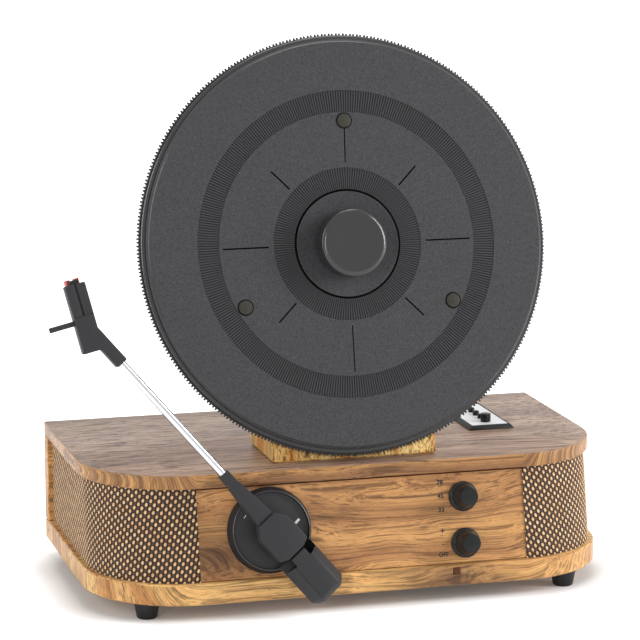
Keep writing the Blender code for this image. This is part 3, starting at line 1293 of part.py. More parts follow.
def build_headshell():
    """The cranked cover: an arm-wise collar that turns into the shell's own direction."""
    left = SHELL_SIDE - SHELL_WIDTH / 2
    right = SHELL_SIDE + SHELL_WIDTH / 2
    collar_left = -COLLAR_HALF
    collar_right = COLLAR_HALF
    back_left = shell_point(left, SHELL_START)
    front_left = shell_point(left, SHELL_END)
    front_right = shell_point(right, SHELL_END)
    slope = math.tan(SHELL_OFFSET)
    inner_z = back_left.z - (collar_left - back_left.x) * slope
    elbow_along = (collar_right - right * math.cos(SHELL_OFFSET)) / math.sin(SHELL_OFFSET)
    elbow = shell_point(right, elbow_along)
    outline = [
        (collar_left, COLLAR_START), (collar_right, COLLAR_START), (elbow.x, elbow.z),
        (front_right.x, front_right.z), (front_left.x, front_left.z), (back_left.x, back_left.z),
        (collar_left, inner_z),
    ]
    top = arm_height(SHELL_TOP_RISE)
    bottom = arm_height(SHELL_BOTTOM_RISE)
    shell = plate(
        "headshell", BLACK, tilt_axis, [outline], bottom - top, (0, (top + bottom) / 2, 0), FACE_OUT,
    )
    round_edges(shell, SHELL_EDGE, 1)
    inner = SHELL_WIDTH / 2 - SHELL_WALL
    under = block(
        "shell_hollow", None, shell_frame,
        (SHELL_SIDE - inner, top + SHELL_WALL, SHELL_END - SHELL_HOLLOW_LENGTH),
        (SHELL_SIDE + inner, bottom + OVERRUN, SHELL_END + OVERRUN),
    )
    groove = block(
        "shell_groove", None, shell_frame,
        (SHELL_SIDE - SHELL_GROOVE_WIDTH / 2, top - OVERRUN, SHELL_GROOVE_START),
        (SHELL_SIDE + SHELL_GROOVE_WIDTH / 2, top + SHELL_GROOVE_DEPTH, SHELL_END + OVERRUN),
    )
    socket = turned(
        "shell_tube_socket", None, tilt_axis,
        [(0, TUBE_END + SEAT_GAP), (TUBE_RADIUS + SEAT_GAP, TUBE_END + SEAT_GAP),
         (TUBE_RADIUS + SEAT_GAP, COLLAR_START - OVERRUN), (0, COLLAR_START - OVERRUN)],
        SMALL_STEPS, rotation=(0, 0, 0),
    )
    cut(shell, under, groove, socket)

    half = LIFT_WIDTH / 2
    lift_top = top + SHELL_WALL + SEAT_GAP
    slot = block(
        "lift_slot", None, shell_frame,
        (left - OVERRUN, lift_top - SEAT_GAP, LIFT_ALONG - half - SEAT_GAP),
        (SHELL_SIDE, lift_top + LIFT_THICKNESS + SEAT_GAP, LIFT_ALONG + half + SEAT_GAP),
    )
    cut(shell, slot)
    lift = block(
        "finger_lift", BLACK, shell_frame,
        (left - LIFT_REACH, lift_top, LIFT_ALONG - half),
        (SHELL_SIDE - SEAT_GAP, lift_top + LIFT_THICKNESS, LIFT_ALONG + half),
    )
    round_edges(lift, LIFT_EDGE, 1)

    body_top = lift_top + LIFT_THICKNESS + SEAT_GAP
    body_bottom = bottom + CARTRIDGE_DROP
    cart_half = CARTRIDGE_WIDTH / 2
    cart_front = SHELL_END - CARTRIDGE_SINK
    cartridge = block(
        "cartridge", BLACK, shell_frame,
        (SHELL_SIDE - cart_half, body_top, cart_front - CARTRIDGE_LENGTH),
        (SHELL_SIDE + cart_half, body_bottom, cart_front),
    )
    round_edges(cartridge, SHELL_EDGE, 1)
    holder_half = STYLUS_HOLDER_WIDTH / 2
    holder_top = body_bottom + SEAT_GAP
    holder_back = SHELL_END + STYLUS_HOLDER_PROUD - STYLUS_HOLDER_LENGTH
    holder_front = SHELL_END + STYLUS_HOLDER_PROUD
    holder_bottom = holder_top + STYLUS_HOLDER_HEIGHT / 2
    horn_top = holder_top - STYLUS_HORN_RISE
    notch = STYLUS_HOLDER_NOTCH / 2
    prong = cart_front + SEAT_GAP
    holder = block(
        "stylus_holder", RED, shell_frame,
        (SHELL_SIDE - holder_half, horn_top, holder_back), (SHELL_SIDE + holder_half, holder_bottom, holder_front),
    )
    body_room = block(
        "holder_body_room", None, shell_frame,
        (SHELL_SIDE - holder_half - OVERRUN, horn_top - OVERRUN, holder_back - OVERRUN),
        (SHELL_SIDE + holder_half + OVERRUN, holder_top, prong),
    )
    horn_gap = block(
        "holder_horn_gap", None, shell_frame,
        (SHELL_SIDE - notch, horn_top - OVERRUN, prong),
        (SHELL_SIDE + notch, holder_bottom + OVERRUN, holder_front + OVERRUN),
    )
    cut(holder, body_room, horn_gap)
    needle_top = holder_bottom + SEAT_GAP
    needle_tip = arm_height(STYLUS_TIP_RISE)
    root_z = prong - STYLUS_ROOT_RADIUS - SEAT_GAP
    tip_z = root_z + STYLUS_LENGTH
    sections = []
    for radius, y, z in (
        (STYLUS_ROOT_RADIUS, needle_top, root_z),
        (STYLUS_ROOT_RADIUS, (needle_top + needle_tip) / 2, (root_z + tip_z) / 2),
        (STYLUS_TIP_RADIUS, needle_tip, tip_z),
    ):
        sections.append([(SHELL_SIDE + x, y, z + rise) for x, rise in circle((0, 0), radius, SMALL_STEPS)])
    needle = loft("stylus", STEEL, shell_frame, sections)
    smooth(needle.data)


def build_counterweight():
    """A block with a sloping flank on each side, a tapered tail and a notch at each front corner."""
    top = arm_height(WEIGHT_TOP_RISE)
    flank = arm_height(WEIGHT_FLANK_RISE)
    bottom = arm_height(WEIGHT_BOTTOM_RISE)

    def section(z, taper, fall):
        half = WEIGHT_HALF - taper
        return [
            (-half, bottom, z), (half, bottom, z), (half, flank, z), (WEIGHT_RIDGE, top + fall, z),
            (-WEIGHT_RIDGE, top + fall, z), (-half, flank, z),
        ]

    weight = loft("counterweight", BLACK, tilt_axis, [
        section(-WEIGHT_START, 0, 0), section(-WEIGHT_END + WEIGHT_END_TAPER, 0, 0),
        section(-WEIGHT_END, WEIGHT_END_TAPER, WEIGHT_END_FALL),
    ])
    round_edges(weight, WEIGHT_EDGE, 1, WEIGHT_EDGE_ANGLE)
    notches = []
    for name, side in (("left", -1), ("right", 1)):
        inner = side * WEIGHT_NECK_HALF
        outer = side * (WEIGHT_HALF + OVERRUN)
        notches.append(block(
            "weight_notch_" + name, None, tilt_axis,
            (min(inner, outer), top - OVERRUN, -WEIGHT_START - WEIGHT_NOTCH_LENGTH),
            (max(inner, outer), bottom - WEIGHT_NOTCH_FLOOR, -WEIGHT_START + OVERRUN),
        ))
    hole = turned(
        "weight_bore", None, tilt_axis,
        [(0, 0), (STUB_RADIUS + SEAT_GAP, 0), (STUB_RADIUS + SEAT_GAP, -WEIGHT_END / 2 - STUB_INSERT),
         (0, -WEIGHT_END / 2 - STUB_INSERT)],
        SMALL_STEPS, rotation=(0, 0, 0),
    )
    cut(weight, *notches, hole)


# Electronics on the cabinet's floor

def build_main_board():
    low = FLOOR_OF_CASE + BOARD_POST_HEIGHT
    left = MAIN_BOARD_X - MAIN_BOARD_WIDTH / 2
    right = MAIN_BOARD_X + MAIN_BOARD_WIDTH / 2
    far = TOP_DEPTH - BACK_THICKNESS - MAIN_BOARD_CLEARANCE
    near = far - MAIN_BOARD_DEPTH
    board = block("main_board", GREEN, origin, (left, near, low), (right, far, low + MAIN_BOARD_THICKNESS))
    pieces = []
    inset = BOARD_POST_INSET
    for i, (x, y) in enumerate(rectangle((left + inset, near + inset), (right - inset, far - inset))):
        pieces.append(turned(
            "board_post_%d" % i, None, origin,
            [(0, low + MAIN_BOARD_THICKNESS / 2), (BOARD_POST_RADIUS, low + MAIN_BOARD_THICKNESS / 2),
             (BOARD_POST_RADIUS, FLOOR_OF_CASE + SEAT_GAP), (0, FLOOR_OF_CASE + SEAT_GAP)],
            SMALL_STEPS, location=(x, y, 0), rotation=(0, 0, 0),
        ))
    size = TRANSFORMER_SIZE
    pieces.append(block(
        "board_transformer", None, origin,
        (left + size, near + size / 2, low + MAIN_BOARD_THICKNESS / 2),
        (left + 2 * size, near + 2 * size, low + MAIN_BOARD_THICKNESS + size),
    ))
    cut(board, *pieces, operation="UNION")


build_boards()
build_front_panel()
build_back_panel()
build_terminals()
build_grille("left", -1)
build_grille("right", 1)
build_feet()
build_control_unit()
build_column()
build_platter()
build_clamp()
build_drive()
build_knobs()
build_tonearm_base()
build_tonearm()
build_main_board()


# The origin goes to the middle of the bottom of the whole object

def bounds():
    """Lowest and highest corners of all the sub-parts."""
    bpy.context.view_layer.update()
    graph = bpy.context.evaluated_depsgraph_get()
    low = Vector((math.inf, math.inf, math.inf))
    high = -low
    for piece in parts.objects:
        if piece.type == "EMPTY":
            continue
        evaluated = piece.evaluated_get(graph)
        for vertex in evaluated.data.vertices:
            point = evaluated.matrix_world @ vertex.co
            low = Vector(map(min, low, point))
            high = Vector(map(max, high, point))
    return low, high


low_corner, high_corner = bounds()
middle = (low_corner + high_corner) / 2
origin.location = (-middle.x, -middle.y, -low_corner.z)
bpy.context.view_layer.update()

for label in (
    "lean_frame", "pulley_axis", "speed_axis", "volume_axis", "tonearm_swing_axis", "tonearm_tilt_axis",
    "source_knob_axis", "control_unit_frame", "foot_front_left", "foot_front_right", "foot_back_left",
    "foot_back_right",
):
    matrix = bpy.data.objects[label].matrix_world
    place = [round(v, 5) for v in matrix.translation]
    axes = [[round(v, 5) for v in matrix.col[i][:3]] for i in range(3)]
    print(label, "at", place, "x", axes[0], "y", axes[1], "z", axes[2])
print("size", [round(v, 4) for v in high_corner - low_corner])
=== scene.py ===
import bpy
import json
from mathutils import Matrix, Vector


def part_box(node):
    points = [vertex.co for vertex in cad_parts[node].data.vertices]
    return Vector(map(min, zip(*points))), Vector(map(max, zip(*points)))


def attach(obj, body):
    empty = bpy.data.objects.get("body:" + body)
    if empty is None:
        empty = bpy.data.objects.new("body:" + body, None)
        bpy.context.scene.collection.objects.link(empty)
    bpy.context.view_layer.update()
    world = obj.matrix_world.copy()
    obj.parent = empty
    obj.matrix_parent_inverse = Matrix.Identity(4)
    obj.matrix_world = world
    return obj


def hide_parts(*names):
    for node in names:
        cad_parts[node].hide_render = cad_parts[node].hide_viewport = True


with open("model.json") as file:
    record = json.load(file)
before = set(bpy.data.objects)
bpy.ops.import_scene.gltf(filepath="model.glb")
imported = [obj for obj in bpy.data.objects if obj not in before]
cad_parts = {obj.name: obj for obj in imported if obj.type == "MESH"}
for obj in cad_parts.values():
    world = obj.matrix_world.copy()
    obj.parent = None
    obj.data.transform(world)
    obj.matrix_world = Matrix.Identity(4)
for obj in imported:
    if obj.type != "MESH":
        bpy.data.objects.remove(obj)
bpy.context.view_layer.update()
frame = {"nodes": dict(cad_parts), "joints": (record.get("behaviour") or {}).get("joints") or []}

# %% [markdown]
# The object is a record player that stands upright. A dark platter leans back by 12 degrees in front of a
# wooden column, and a low cabinet below it carries the tonearm, two knobs and two loudspeakers behind woven
# cloth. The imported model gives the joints' places, so nothing here is measured twice.

# %% Places that the model gives
import json
import math

import bpy
from mathutils import Matrix, Vector

joints = {joint["name"]: joint for joint in frame["joints"]}
INTO = Vector(joints["platter_spin"]["axis"]).normalized()
OUT = -INTO
RIGHT = Vector((1, 0, 0))
LEAN = math.asin(OUT.z)
QUARTER = math.pi / 2


def leaning_place(origin):
    """A bench standing on the leaning front: X runs to the right, Y up the slope and Z out of the front."""
    matrix = Matrix((RIGHT, OUT.cross(RIGHT).normalized(), OUT)).transposed().to_4x4()
    matrix.translation = Vector(origin)
    return matrix


platter_place = leaning_place(joints["platter_spin"]["pos_m"])
print("lean", round(math.degrees(LEAN), 2), "degrees, platter centre", platter_place.translation)

# %% [markdown]
# ## Camera
# The photograph was taken from the front left and a little above, with a long lens. The place, the turn and
# the lens below come from fitting the edges of the boards and the circles of the platter.

# %% Camera
CAMERA_PLACE = Vector((-0.55503, -2.01041, 0.58954))
CAMERA_YAW = 0.2729
CAMERA_PITCH = -0.18958
CAMERA_ROLL = -0.00047
FOCAL_PIXELS = 2939.13
PHOTO_PIXELS = 640
SENSOR = 36.0

camera_data = bpy.data.cameras.new("camera")
camera_data.sensor_width = SENSOR
camera_data.lens = FOCAL_PIXELS / PHOTO_PIXELS * SENSOR
camera = bpy.data.objects.new("camera", camera_data)
bpy.context.scene.collection.objects.link(camera)
camera.matrix_world = (Matrix.Translation(CAMERA_PLACE) @ Matrix.Rotation(-CAMERA_YAW, 4, "Z") @
                       Matrix.Rotation(QUARTER + CAMERA_PITCH, 4, "X") @ Matrix.Rotation(CAMERA_ROLL, 4, "Z"))
bpy.context.scene.camera = camera
print("lens", round(camera_data.lens, 1), "mm")

# %% [markdown]
# ## Nodes for the materials
# A material is a small network of nodes. These helpers add a node, set its sockets and join it to others, so
# that each recipe below reads as a list of steps. Patterns read Object coordinates. Every piece here has its
# place in its mesh, so those coordinates are metres in the room.

# %% Node helpers
def configure(target, settings):
    for key, value in settings.items():
        setattr(target, key, value)


def feed(tree, node, inputs):
    """Set a node's inputs; each may be a plain value or another node's output socket."""
    for key, value in inputs.items():
        if isinstance(value, bpy.types.NodeSocket):
            tree.links.new(value, node.inputs[key])
        else:
            node.inputs[key].default_value = value


def add_node(tree, kind, inputs, **settings):
    """Add a node with its settings and inputs, and give its outputs."""
    node = tree.nodes.new("ShaderNode" + kind)
    configure(node, settings)
    feed(tree, node, inputs)
    return node.outputs


def maths(tree, operation, a, b=0.0, clamp=False):
    return add_node(tree, "Math", {0: a, 1: b}, operation=operation, use_clamp=clamp)[0]


def plus(tree, a, b, clamp=False):
    return maths(tree, "ADD", a, b, clamp)


def minus(tree, a, b):
    return maths(tree, "SUBTRACT", a, b)


def times(tree, a, b, clamp=False):
    return maths(tree, "MULTIPLY", a, b, clamp)


def mix(tree, share, a, b):
    return add_node(tree, "Mix", {0: share, 6: a, 7: b}, data_type="RGBA")[2]


def stretch(tree, value, low, high, to_low=0.0, to_high=1.0):
    return add_node(tree, "MapRange", {0: value, 1: low, 2: high, 3: to_low, 4: to_high})[0]


def rgb(red, green, blue):
    """A colour as a screen shows it, 0 to 255, as the linear values that shaders use."""
    share = [channel / 255 for channel in (red, green, blue)]
    return tuple(c / 12.92 if c <= 0.04045 else ((c + 0.055) / 1.055) ** 2.4 for c in share) + (1.0,)


def new_group(name, inputs, outputs):
    """A shader node group; an input's default of three numbers makes it a vector, one of four a colour."""
    tree = bpy.data.node_groups.new(name, "ShaderNodeTree")
    for label, default in inputs:
        kind = "NodeSocketFloat"
        if isinstance(default, tuple):
            kind = "NodeSocketVector" if len(default) == 3 else "NodeSocketColor"
        socket = tree.interface.new_socket(label, in_out="INPUT", socket_type=kind)
        socket.default_value = default
    for label, kind in outputs:
        tree.interface.new_socket(label, in_out="OUTPUT", socket_type=kind)
    return tree, tree.nodes.new("NodeGroupInput").outputs, tree.nodes.new("NodeGroupOutput")


def use_group(tree, group, inputs):
    return add_node(tree, "Group", inputs, node_tree=group)


def new_material(name, **sockets):
    """A material with one Principled shader; constants go on its own sockets."""
    material = bpy.data.materials.new(name)
    material.use_nodes = True
    tree = material.node_tree
    shader = tree.nodes["Principled BSDF"]
    feed(tree, shader, {key.replace("_", " "): value for key, value in sockets.items()})
    return material, tree, shader


def vector_node(tree, operation, a, b):
    return add_node(tree, "VectorMath", {0: a, 1: b}, operation=operation)[0]


def length_of(tree, vector):
    return add_node(tree, "VectorMath", {0: vector}, operation="LENGTH")["Value"]


def scaled(tree, colour, share):
    return add_node(tree, "VectorMath", {0: colour, "Scale": share}, operation="SCALE")[0]


def split(tree, vector):
    return add_node(tree, "SeparateXYZ", {0: vector})


def merge(tree, *parts):
    return add_node(tree, "CombineXYZ", dict(enumerate(parts)))[0]


def noise(tree, vector, scale, detail=2.0, roughness=0.5):
    """Noise with its own scale along each axis, in waves per metre."""
    inputs = {"Vector": vector_node(tree, "MULTIPLY", vector, scale), "Scale": 1.0, "Detail": detail,
              "Roughness": roughness}
    return add_node(tree, "TexNoise", inputs)["Fac"]


def shade(tree, shader, colour, roughness, height, relief):
    """Join a material's colour, roughness and relief to its shader."""
    bump = add_node(tree, "Bump", {"Height": height, "Distance": relief})[0]
    feed(tree, shader, {"Base Color": colour, "Roughness": roughness, "Normal": bump})


print("node helpers ready")

# %% [markdown]
# ## Wood veneer
# The boards wear a veneer with a golden ground, brown flowing streaks, dark hairlines and a few smoky clouds.
# Wood is a bundle of long tubes, so every pattern is long along the grain and narrow across it. The group
# takes coordinates whose X runs along the grain. First a low noise bends them, so that the streaks flow. A
# knot pushes the streaks apart, as a branch does, and where a surface faces along the grain the streaks stand
# up as end grain.

# %% Group that bends the grain
NO_KNOT = (0.0, 0.0, -9.0)
KNOT_SHAPE = (0.45, 0.0, 1.0)
KNOT_PUSH = 0.85
END_SQUEEZE = 0.8
SLOW_SWAY = 0.056
QUICK_SWAY = 0.005

bend, given, result = new_group("grain_bend", [
    ("Vector", (0.0, 0.0, 0.0)), ("End", 0.0), ("Flow", 1.0), ("Knot Place", NO_KNOT), ("Knot Size", 0.02),
], [("Vector", "NodeSocketVector"), ("Knot", "NodeSocketFloat")])
from_knot = vector_node(bend, "SUBTRACT", given["Vector"], given["Knot Place"])
knot_reach = length_of(bend, vector_node(bend, "MULTIPLY", from_knot, KNOT_SHAPE))
knot_share = maths(bend, "DIVIDE", knot_reach, given["Knot Size"])
knot_mask = maths(bend, "POWER", math.e, times(bend, times(bend, knot_share, knot_share), -1.0))
spread = minus(bend, 1.0, times(bend, knot_mask, KNOT_PUSH))
pushed = vector_node(bend, "MULTIPLY", from_knot, merge(bend, 1.0, 1.0, spread))
opened = vector_node(bend, "ADD", given["Knot Place"], pushed)
x, y, z = split(bend, opened)
slow = minus(bend, noise(bend, opened, (6.0, 15.0, 15.0), 2.0, 0.45), 0.5)
quick = minus(bend, noise(bend, opened, (22.0, 60.0, 60.0), 1.0, 0.5), 0.5)
sway = times(bend, plus(bend, times(bend, slow, SLOW_SWAY), times(bend, quick, QUICK_SWAY)), given["Flow"])
squeezed = times(bend, z, minus(bend, 1.0, times(bend, given["End"], END_SQUEEZE)))
bent = merge(bend, x, plus(bend, y, sway), plus(bend, squeezed, sway))
feed(bend, result, {"Vector": bent, "Knot": knot_mask})
print("bend group has", len(bend.nodes), "nodes")

# %% [markdown]
# The second group draws the wood on the bent coordinates, from the broadest tone to the finest pore. It gives
# a colour, a height for the open pores, and a roughness, because the dark streaks are more open and so
# duller.

# %% Group for veneer
SURFACE = (("Color", "NodeSocketColor"), ("Height", "NodeSocketFloat"), ("Gloss", "NodeSocketFloat"))
STREAK_SHARE = 0.62
HAIR_SHARE = 0.56
PORE_SHARE = 0.5

wood, given, result = new_group("veneer_grain", [
    ("Vector", (0.0, 0.0, 0.0)), ("Pale", rgb(244, 186, 116)), ("Mid", rgb(188, 130, 76)),
    ("Dark", rgb(56, 30, 15)), ("Smoky", rgb(86, 56, 40)), ("Streaks", 1.0), ("Clouds", 0.5),
    ("Knot", 0.0),
], SURFACE)
bent = given["Vector"]
tone = stretch(wood, noise(wood, bent, (2.0, 44.0, 44.0), 3.0, 0.55), 0.36, 0.64)
streak = stretch(wood, noise(wood, bent, (3.5, 290.0, 290.0), 3.0, 0.6), 0.50, 0.66)
hair = stretch(wood, noise(wood, bent, (5.0, 620.0, 620.0), 2.0, 0.6), 0.52, 0.62)
fibre = noise(wood, bent, (60.0, 2600.0, 2600.0), 2.0, 0.6)
pore = stretch(wood, noise(wood, bent, (190.0, 1900.0, 1900.0), 1.0, 0.5), 0.64, 0.72)
cloud = stretch(wood, noise(wood, bent, (7.0, 26.0, 26.0), 4.0, 0.6), 0.54, 0.74)
knot_smoke = times(wood, given["Knot"], stretch(wood, fibre, 0.3, 0.6, 0.3, 0.9))
smoke = plus(wood, times(wood, cloud, given["Clouds"]), knot_smoke, clamp=True)
streaks = times(wood, times(wood, streak, given["Streaks"]), STREAK_SHARE, clamp=True)
colour = mix(wood, tone, given["Mid"], given["Pale"])
colour = mix(wood, smoke, colour, given["Smoky"])
for share in (streaks, times(wood, hair, HAIR_SHARE), times(wood, pore, PORE_SHARE)):
    colour = mix(wood, share, colour, given["Dark"])
colour = scaled(wood, colour, stretch(wood, fibre, 0.3, 0.7, 0.80, 1.18))
height = minus(wood, times(wood, fibre, 0.5), pore)
gloss = stretch(wood, plus(wood, pore, streak), 0.0, 1.5, 0.36, 0.55)
feed(wood, result, {"Color": colour, "Height": height, "Gloss": gloss})
print("veneer group has", len(wood.nodes), "nodes")

# %% [markdown]
# Each wooden piece places the same groups with its own direction of grain, its own colours and, on two of
# them, a knot. The top board's upper face is greyer than its golden edges. That grey is a painted sheen, the
# white room's reflection at a grazing view, so the material mixes two sets of colours by where the surface
# points.

# %% Veneer materials
# Painted sheen: a greyer, paler wood that stands in for the white room's reflection on the top board's upper
# face.
PAINTED_SHEEN_WOOD = {"Pale": rgb(198, 166, 142), "Mid": rgb(158, 127, 106), "Dark": rgb(54, 35, 28),
            "Smoky": rgb(104, 80, 72), "Streaks": 1.1, "Clouds": 0.7}
WOOD_RELIEF = 0.00008


def veneered(name, turn=(0, 0, 0), shift=(0, 0, 0), fine=(1, 1, 1), flow=1.0, knot=NO_KNOT,
             knot_size=0.02, shine=0.35, painted_sheen_top=False, **colours):
    """Veneer: turn lays the grain, shift picks the stretch of wood and fine draws the figure closer."""
    material, tree, shader = new_material(name, Specular_IOR_Level=shine)
    source = add_node(tree, "TexCoord", {})
    place = add_node(tree, "Mapping", {
        "Vector": source["Object"], "Rotation": turn, "Location": shift, "Scale": fine})[0]
    normal = source["Normal"]
    facing = add_node(tree, "Mapping", {"Vector": normal, "Rotation": turn}, vector_type="VECTOR")[0]
    end = split(tree, facing)[0]
    knot_place = tuple(Matrix.Rotation(turn[1], 3, "Y") @ Vector(knot) + Vector(shift))
    bent = use_group(tree, bend, {"Vector": place, "End": times(tree, end, end), "Flow": flow,
                                  "Knot Place": knot_place, "Knot Size": knot_size})
    out = use_group(tree, wood, {"Vector": bent["Vector"], "Knot": bent["Knot"], **colours})
    colour = out["Color"]
    # Painted sheen: the greyer wood is mixed in where the surface points up.
    if painted_sheen_top:
        upward = stretch(tree, split(tree, normal)[2], 0.6, 0.95)
        sheen_wood = use_group(tree, wood, {"Vector": bent["Vector"], **PAINTED_SHEEN_WOOD})
        colour = mix(tree, upward, colour, sheen_wood["Color"])
    shade(tree, shader, colour, out["Gloss"], out["Height"], WOOD_RELIEF)
    return material


panel_veneer = veneered(
    "panel_veneer", shift=(0.1, 0.02, 0.3), flow=1.1, knot=(-0.094, -0.09, 0.044), knot_size=0.014,
    Clouds=0.45, Streaks=0.75, Pale=rgb(226, 170, 108), Mid=rgb(178, 125, 80))
board_veneer = veneered(
    "board_veneer", shift=(0.4, 0.7, 0.1), flow=0.7, knot=(0.081, -0.1, 0.016), knot_size=0.016,
    Clouds=0.3, Streaks=0.9, Pale=rgb(255, 206, 132), Mid=rgb(214, 150, 88))
top_veneer = veneered(
    "top_veneer", shift=(0.9, 0.2, 0.6), flow=0.5, painted_sheen_top=True,
    Clouds=0.6, Streaks=1.1, Pale=rgb(226, 170, 106), Mid=rgb(152, 106, 66))
column_veneer = veneered(
    "column_veneer", turn=(0, QUARTER, 0), shift=(0.3, 0.5, 0.0), fine=(1.7, 1.7, 0.8), flow=0.4, shine=0.06,
    Clouds=0.1, Streaks=1.4, Pale=rgb(255, 222, 150), Mid=rgb(222, 156, 82))
back_veneer = veneered("back_veneer", shift=(1.3, 0.1, 0.2), flow=0.8, Clouds=0.3)
speaker_wood = veneered("speaker_wood", Pale=rgb(200, 168, 128), Mid=rgb(176, 144, 106))
print("veneers ready")

# %% [markdown]
# ## Moulded and painted surfaces
# The dark parts look plain from afar, but close up they have the fine sparkle of textured paint and of
# moulded plastic. One group gives a speckle and a soft cloudiness, with its grain size in metres as an input.

# %% Group for fine texture
CLOUD_SCALE = 28.0
GLOSS_CHANGE = 0.12

speck, given, result = new_group("fine_texture", [
    ("Vector", (0.0, 0.0, 0.0)), ("Grain", 0.0006), ("Color", rgb(60, 60, 62)), ("Contrast", 0.25),
    ("Cloud", 0.08),
], SURFACE)
grain_scale = maths(speck, "DIVIDE", 1.0, given["Grain"])
speckle = add_node(speck, "TexNoise", {
    "Vector": given["Vector"], "Scale": grain_scale, "Detail": 2.0, "Roughness": 0.6})["Fac"]
cloud = add_node(speck, "TexNoise", {"Vector": given["Vector"], "Scale": CLOUD_SCALE, "Detail": 3.0})["Fac"]
speckle_light = times(speck, minus(speck, speckle, 0.5), given["Contrast"])
cloud_light = times(speck, minus(speck, cloud, 0.5), given["Cloud"])
light = plus(speck, 1.0, plus(speck, speckle_light, cloud_light))
colour = scaled(speck, given["Color"], light)
gloss = plus(speck, times(speck, speckle, GLOSS_CHANGE), cloud_light)
feed(speck, result, {"Color": colour, "Height": speckle, "Gloss": gloss})
print("texture group has", len(speck.nodes), "nodes")

# %% [markdown]
# Every dark, painted, rubber or plastic surface is this group with its own colour, shine and grain.

# %% Textured materials
def textured(name, colour, roughness, grain=0.0006, contrast=0.3, cloud=0.1, relief=0.00003,
             shine=0.5, metallic=0.0):
    """Paint, plastic, rubber or metal with a speckle; its mean roughness is the one given."""
    material, tree, shader = new_material(name, Specular_IOR_Level=shine, Metallic=metallic)
    place = add_node(tree, "TexCoord", {})["Object"]
    out = use_group(tree, speck, {"Vector": place, "Grain": grain, "Color": colour, "Contrast": contrast,
                                  "Cloud": cloud})
    gloss = plus(tree, roughness - GLOSS_CHANGE / 2, out["Gloss"], clamp=True)
    shade(tree, shader, out["Color"], gloss, out["Height"], relief)
    return material


def grey(level, tint=0):
    """A neutral colour, a little bluer by the tint."""
    return rgb(level, level, level + tint)


MATT = 0.22
platter_paint = textured("platter_paint", grey(56, 2), 0.24, grain=0.0009)
mat_rubber = textured("mat_rubber", grey(66, 2), 0.62, grain=0.0013, contrast=1.5, relief=0.0001, shine=MATT)
rib_rubber = textured("rib_rubber", grey(66, 2), 0.5, grain=0.0008, shine=MATT)
tooth_paint = textured("tooth_paint", grey(42, 1), 0.36)
# Painted shade: near-black for grooves, lines, notches and the ring round each button, dark grey for
# shallower recesses and shaded walls.
painted_shade_black = textured("painted_shade_black", grey(6, 1), 0.8, shine=0.05)
painted_shade_grey = textured("painted_shade_grey", grey(34, 2), 0.5, shine=MATT)
button_olive = textured("button_olive", rgb(56, 55, 48), 0.6, grain=0.0009, contrast=1.6, shine=MATT)
clamp_paint = textured("clamp_paint", grey(45, 2), 0.17)
arm_paint = textured("arm_paint", grey(51, 2), 0.52, grain=0.0004, contrast=0.25, shine=MATT)
drum_paint = textured("drum_paint", grey(57, 2), 0.34, grain=0.0005, shine=MATT)
knob_plastic = textured("knob_plastic", grey(34, 1), 0.30, grain=0.0005, contrast=0.25, shine=0.2)
black_plastic = textured("black_plastic", grey(24, 1), 0.42, shine=0.3)
foot_rubber = textured("foot_rubber", grey(24, 1), 0.5, grain=0.0008, contrast=0.5, shine=0.35)
belt_rubber = textured("belt_rubber", grey(22), 0.7)
face_paint = textured("face_paint", rgb(236, 238, 240), 0.40, contrast=0.06, cloud=0.04)
label_ink = textured("label_ink", rgb(24, 16, 12), 0.6)
mark_white = textured("mark_white", rgb(236, 236, 232), 0.5, contrast=0.05)
shell_red = textured("shell_red", rgb(176, 40, 34), 0.4, contrast=0.1)
lens_brown = textured("lens_brown", rgb(88, 48, 30), 0.4, contrast=0.2, shine=0.2)
board_green = textured("board_green", rgb(34, 92, 58), 0.45, grain=0.002)
cone_paper = textured("cone_paper", rgb(58, 56, 54), 0.85, grain=0.0012, contrast=0.5)
print("textured materials ready")

# %% [markdown]
# ## Metals
# The tube is polished, the spindle and its bearing are turned steel, the motor and the speakers are duller,
# and the pulley is brass. Metal takes its colour in its reflections, so Metallic is 1, and fine noise breaks
# up the shine.

# %% Metals
def metal(name, colour, roughness):
    return textured(name, colour, roughness, grain=0.0004, contrast=0.1, cloud=0.05, relief=0.000004,
                    metallic=1.0)


tube_silver = metal("tube_silver", rgb(200, 201, 204), 0.18)
turned_steel = metal("turned_steel", grey(176, 2), 0.3)
basket_steel = metal("basket_steel", grey(120, 2), 0.4)
pulley_brass = metal("pulley_brass", rgb(206, 170, 98), 0.28)
socket_gold = metal("socket_gold", rgb(224, 190, 120), 0.25)
print("metals ready")

# %% [markdown]
# ## Helpers for modelling
# Pieces are built with the operators that a person would press: add a primitive, go into edit mode, select,
# extrude and bevel. Each helper leaves one finished object whose place is in its mesh.

# %% Modelling helpers
BEVEL_STEPS = 2
SHARP_ANGLE = math.radians(30)
FLAT_ANGLE = math.radians(0.5)


def go_to(mode):
    bpy.ops.object.mode_set(mode=mode)


def deselect():
    bpy.ops.object.select_all(action="DESELECT")


def work_on(piece):
    deselect()
    piece.select_set(True)
    bpy.context.view_layer.objects.active = piece


def named(name):
    piece = bpy.context.active_object
    piece.name = name
    piece.data.name = name
    return piece


def apply_modifier(piece, kind, **settings):
    work_on(piece)
    modifier = piece.modifiers.new(kind.lower(), kind)
    configure(modifier, settings)
    bpy.ops.object.modifier_apply(modifier=modifier.name)


def rounded(piece, width):
    """Take the sharpness off every edge that bends more than the sharp angle."""
    apply_modifier(piece, "BEVEL", width=width, segments=BEVEL_STEPS, limit_method="ANGLE",
                   angle_limit=SHARP_ANGLE, use_clamp_overlap=True)


def dress(piece, *materials):
    piece.data.materials.clear()
    for material in materials:
        piece.data.materials.append(material)


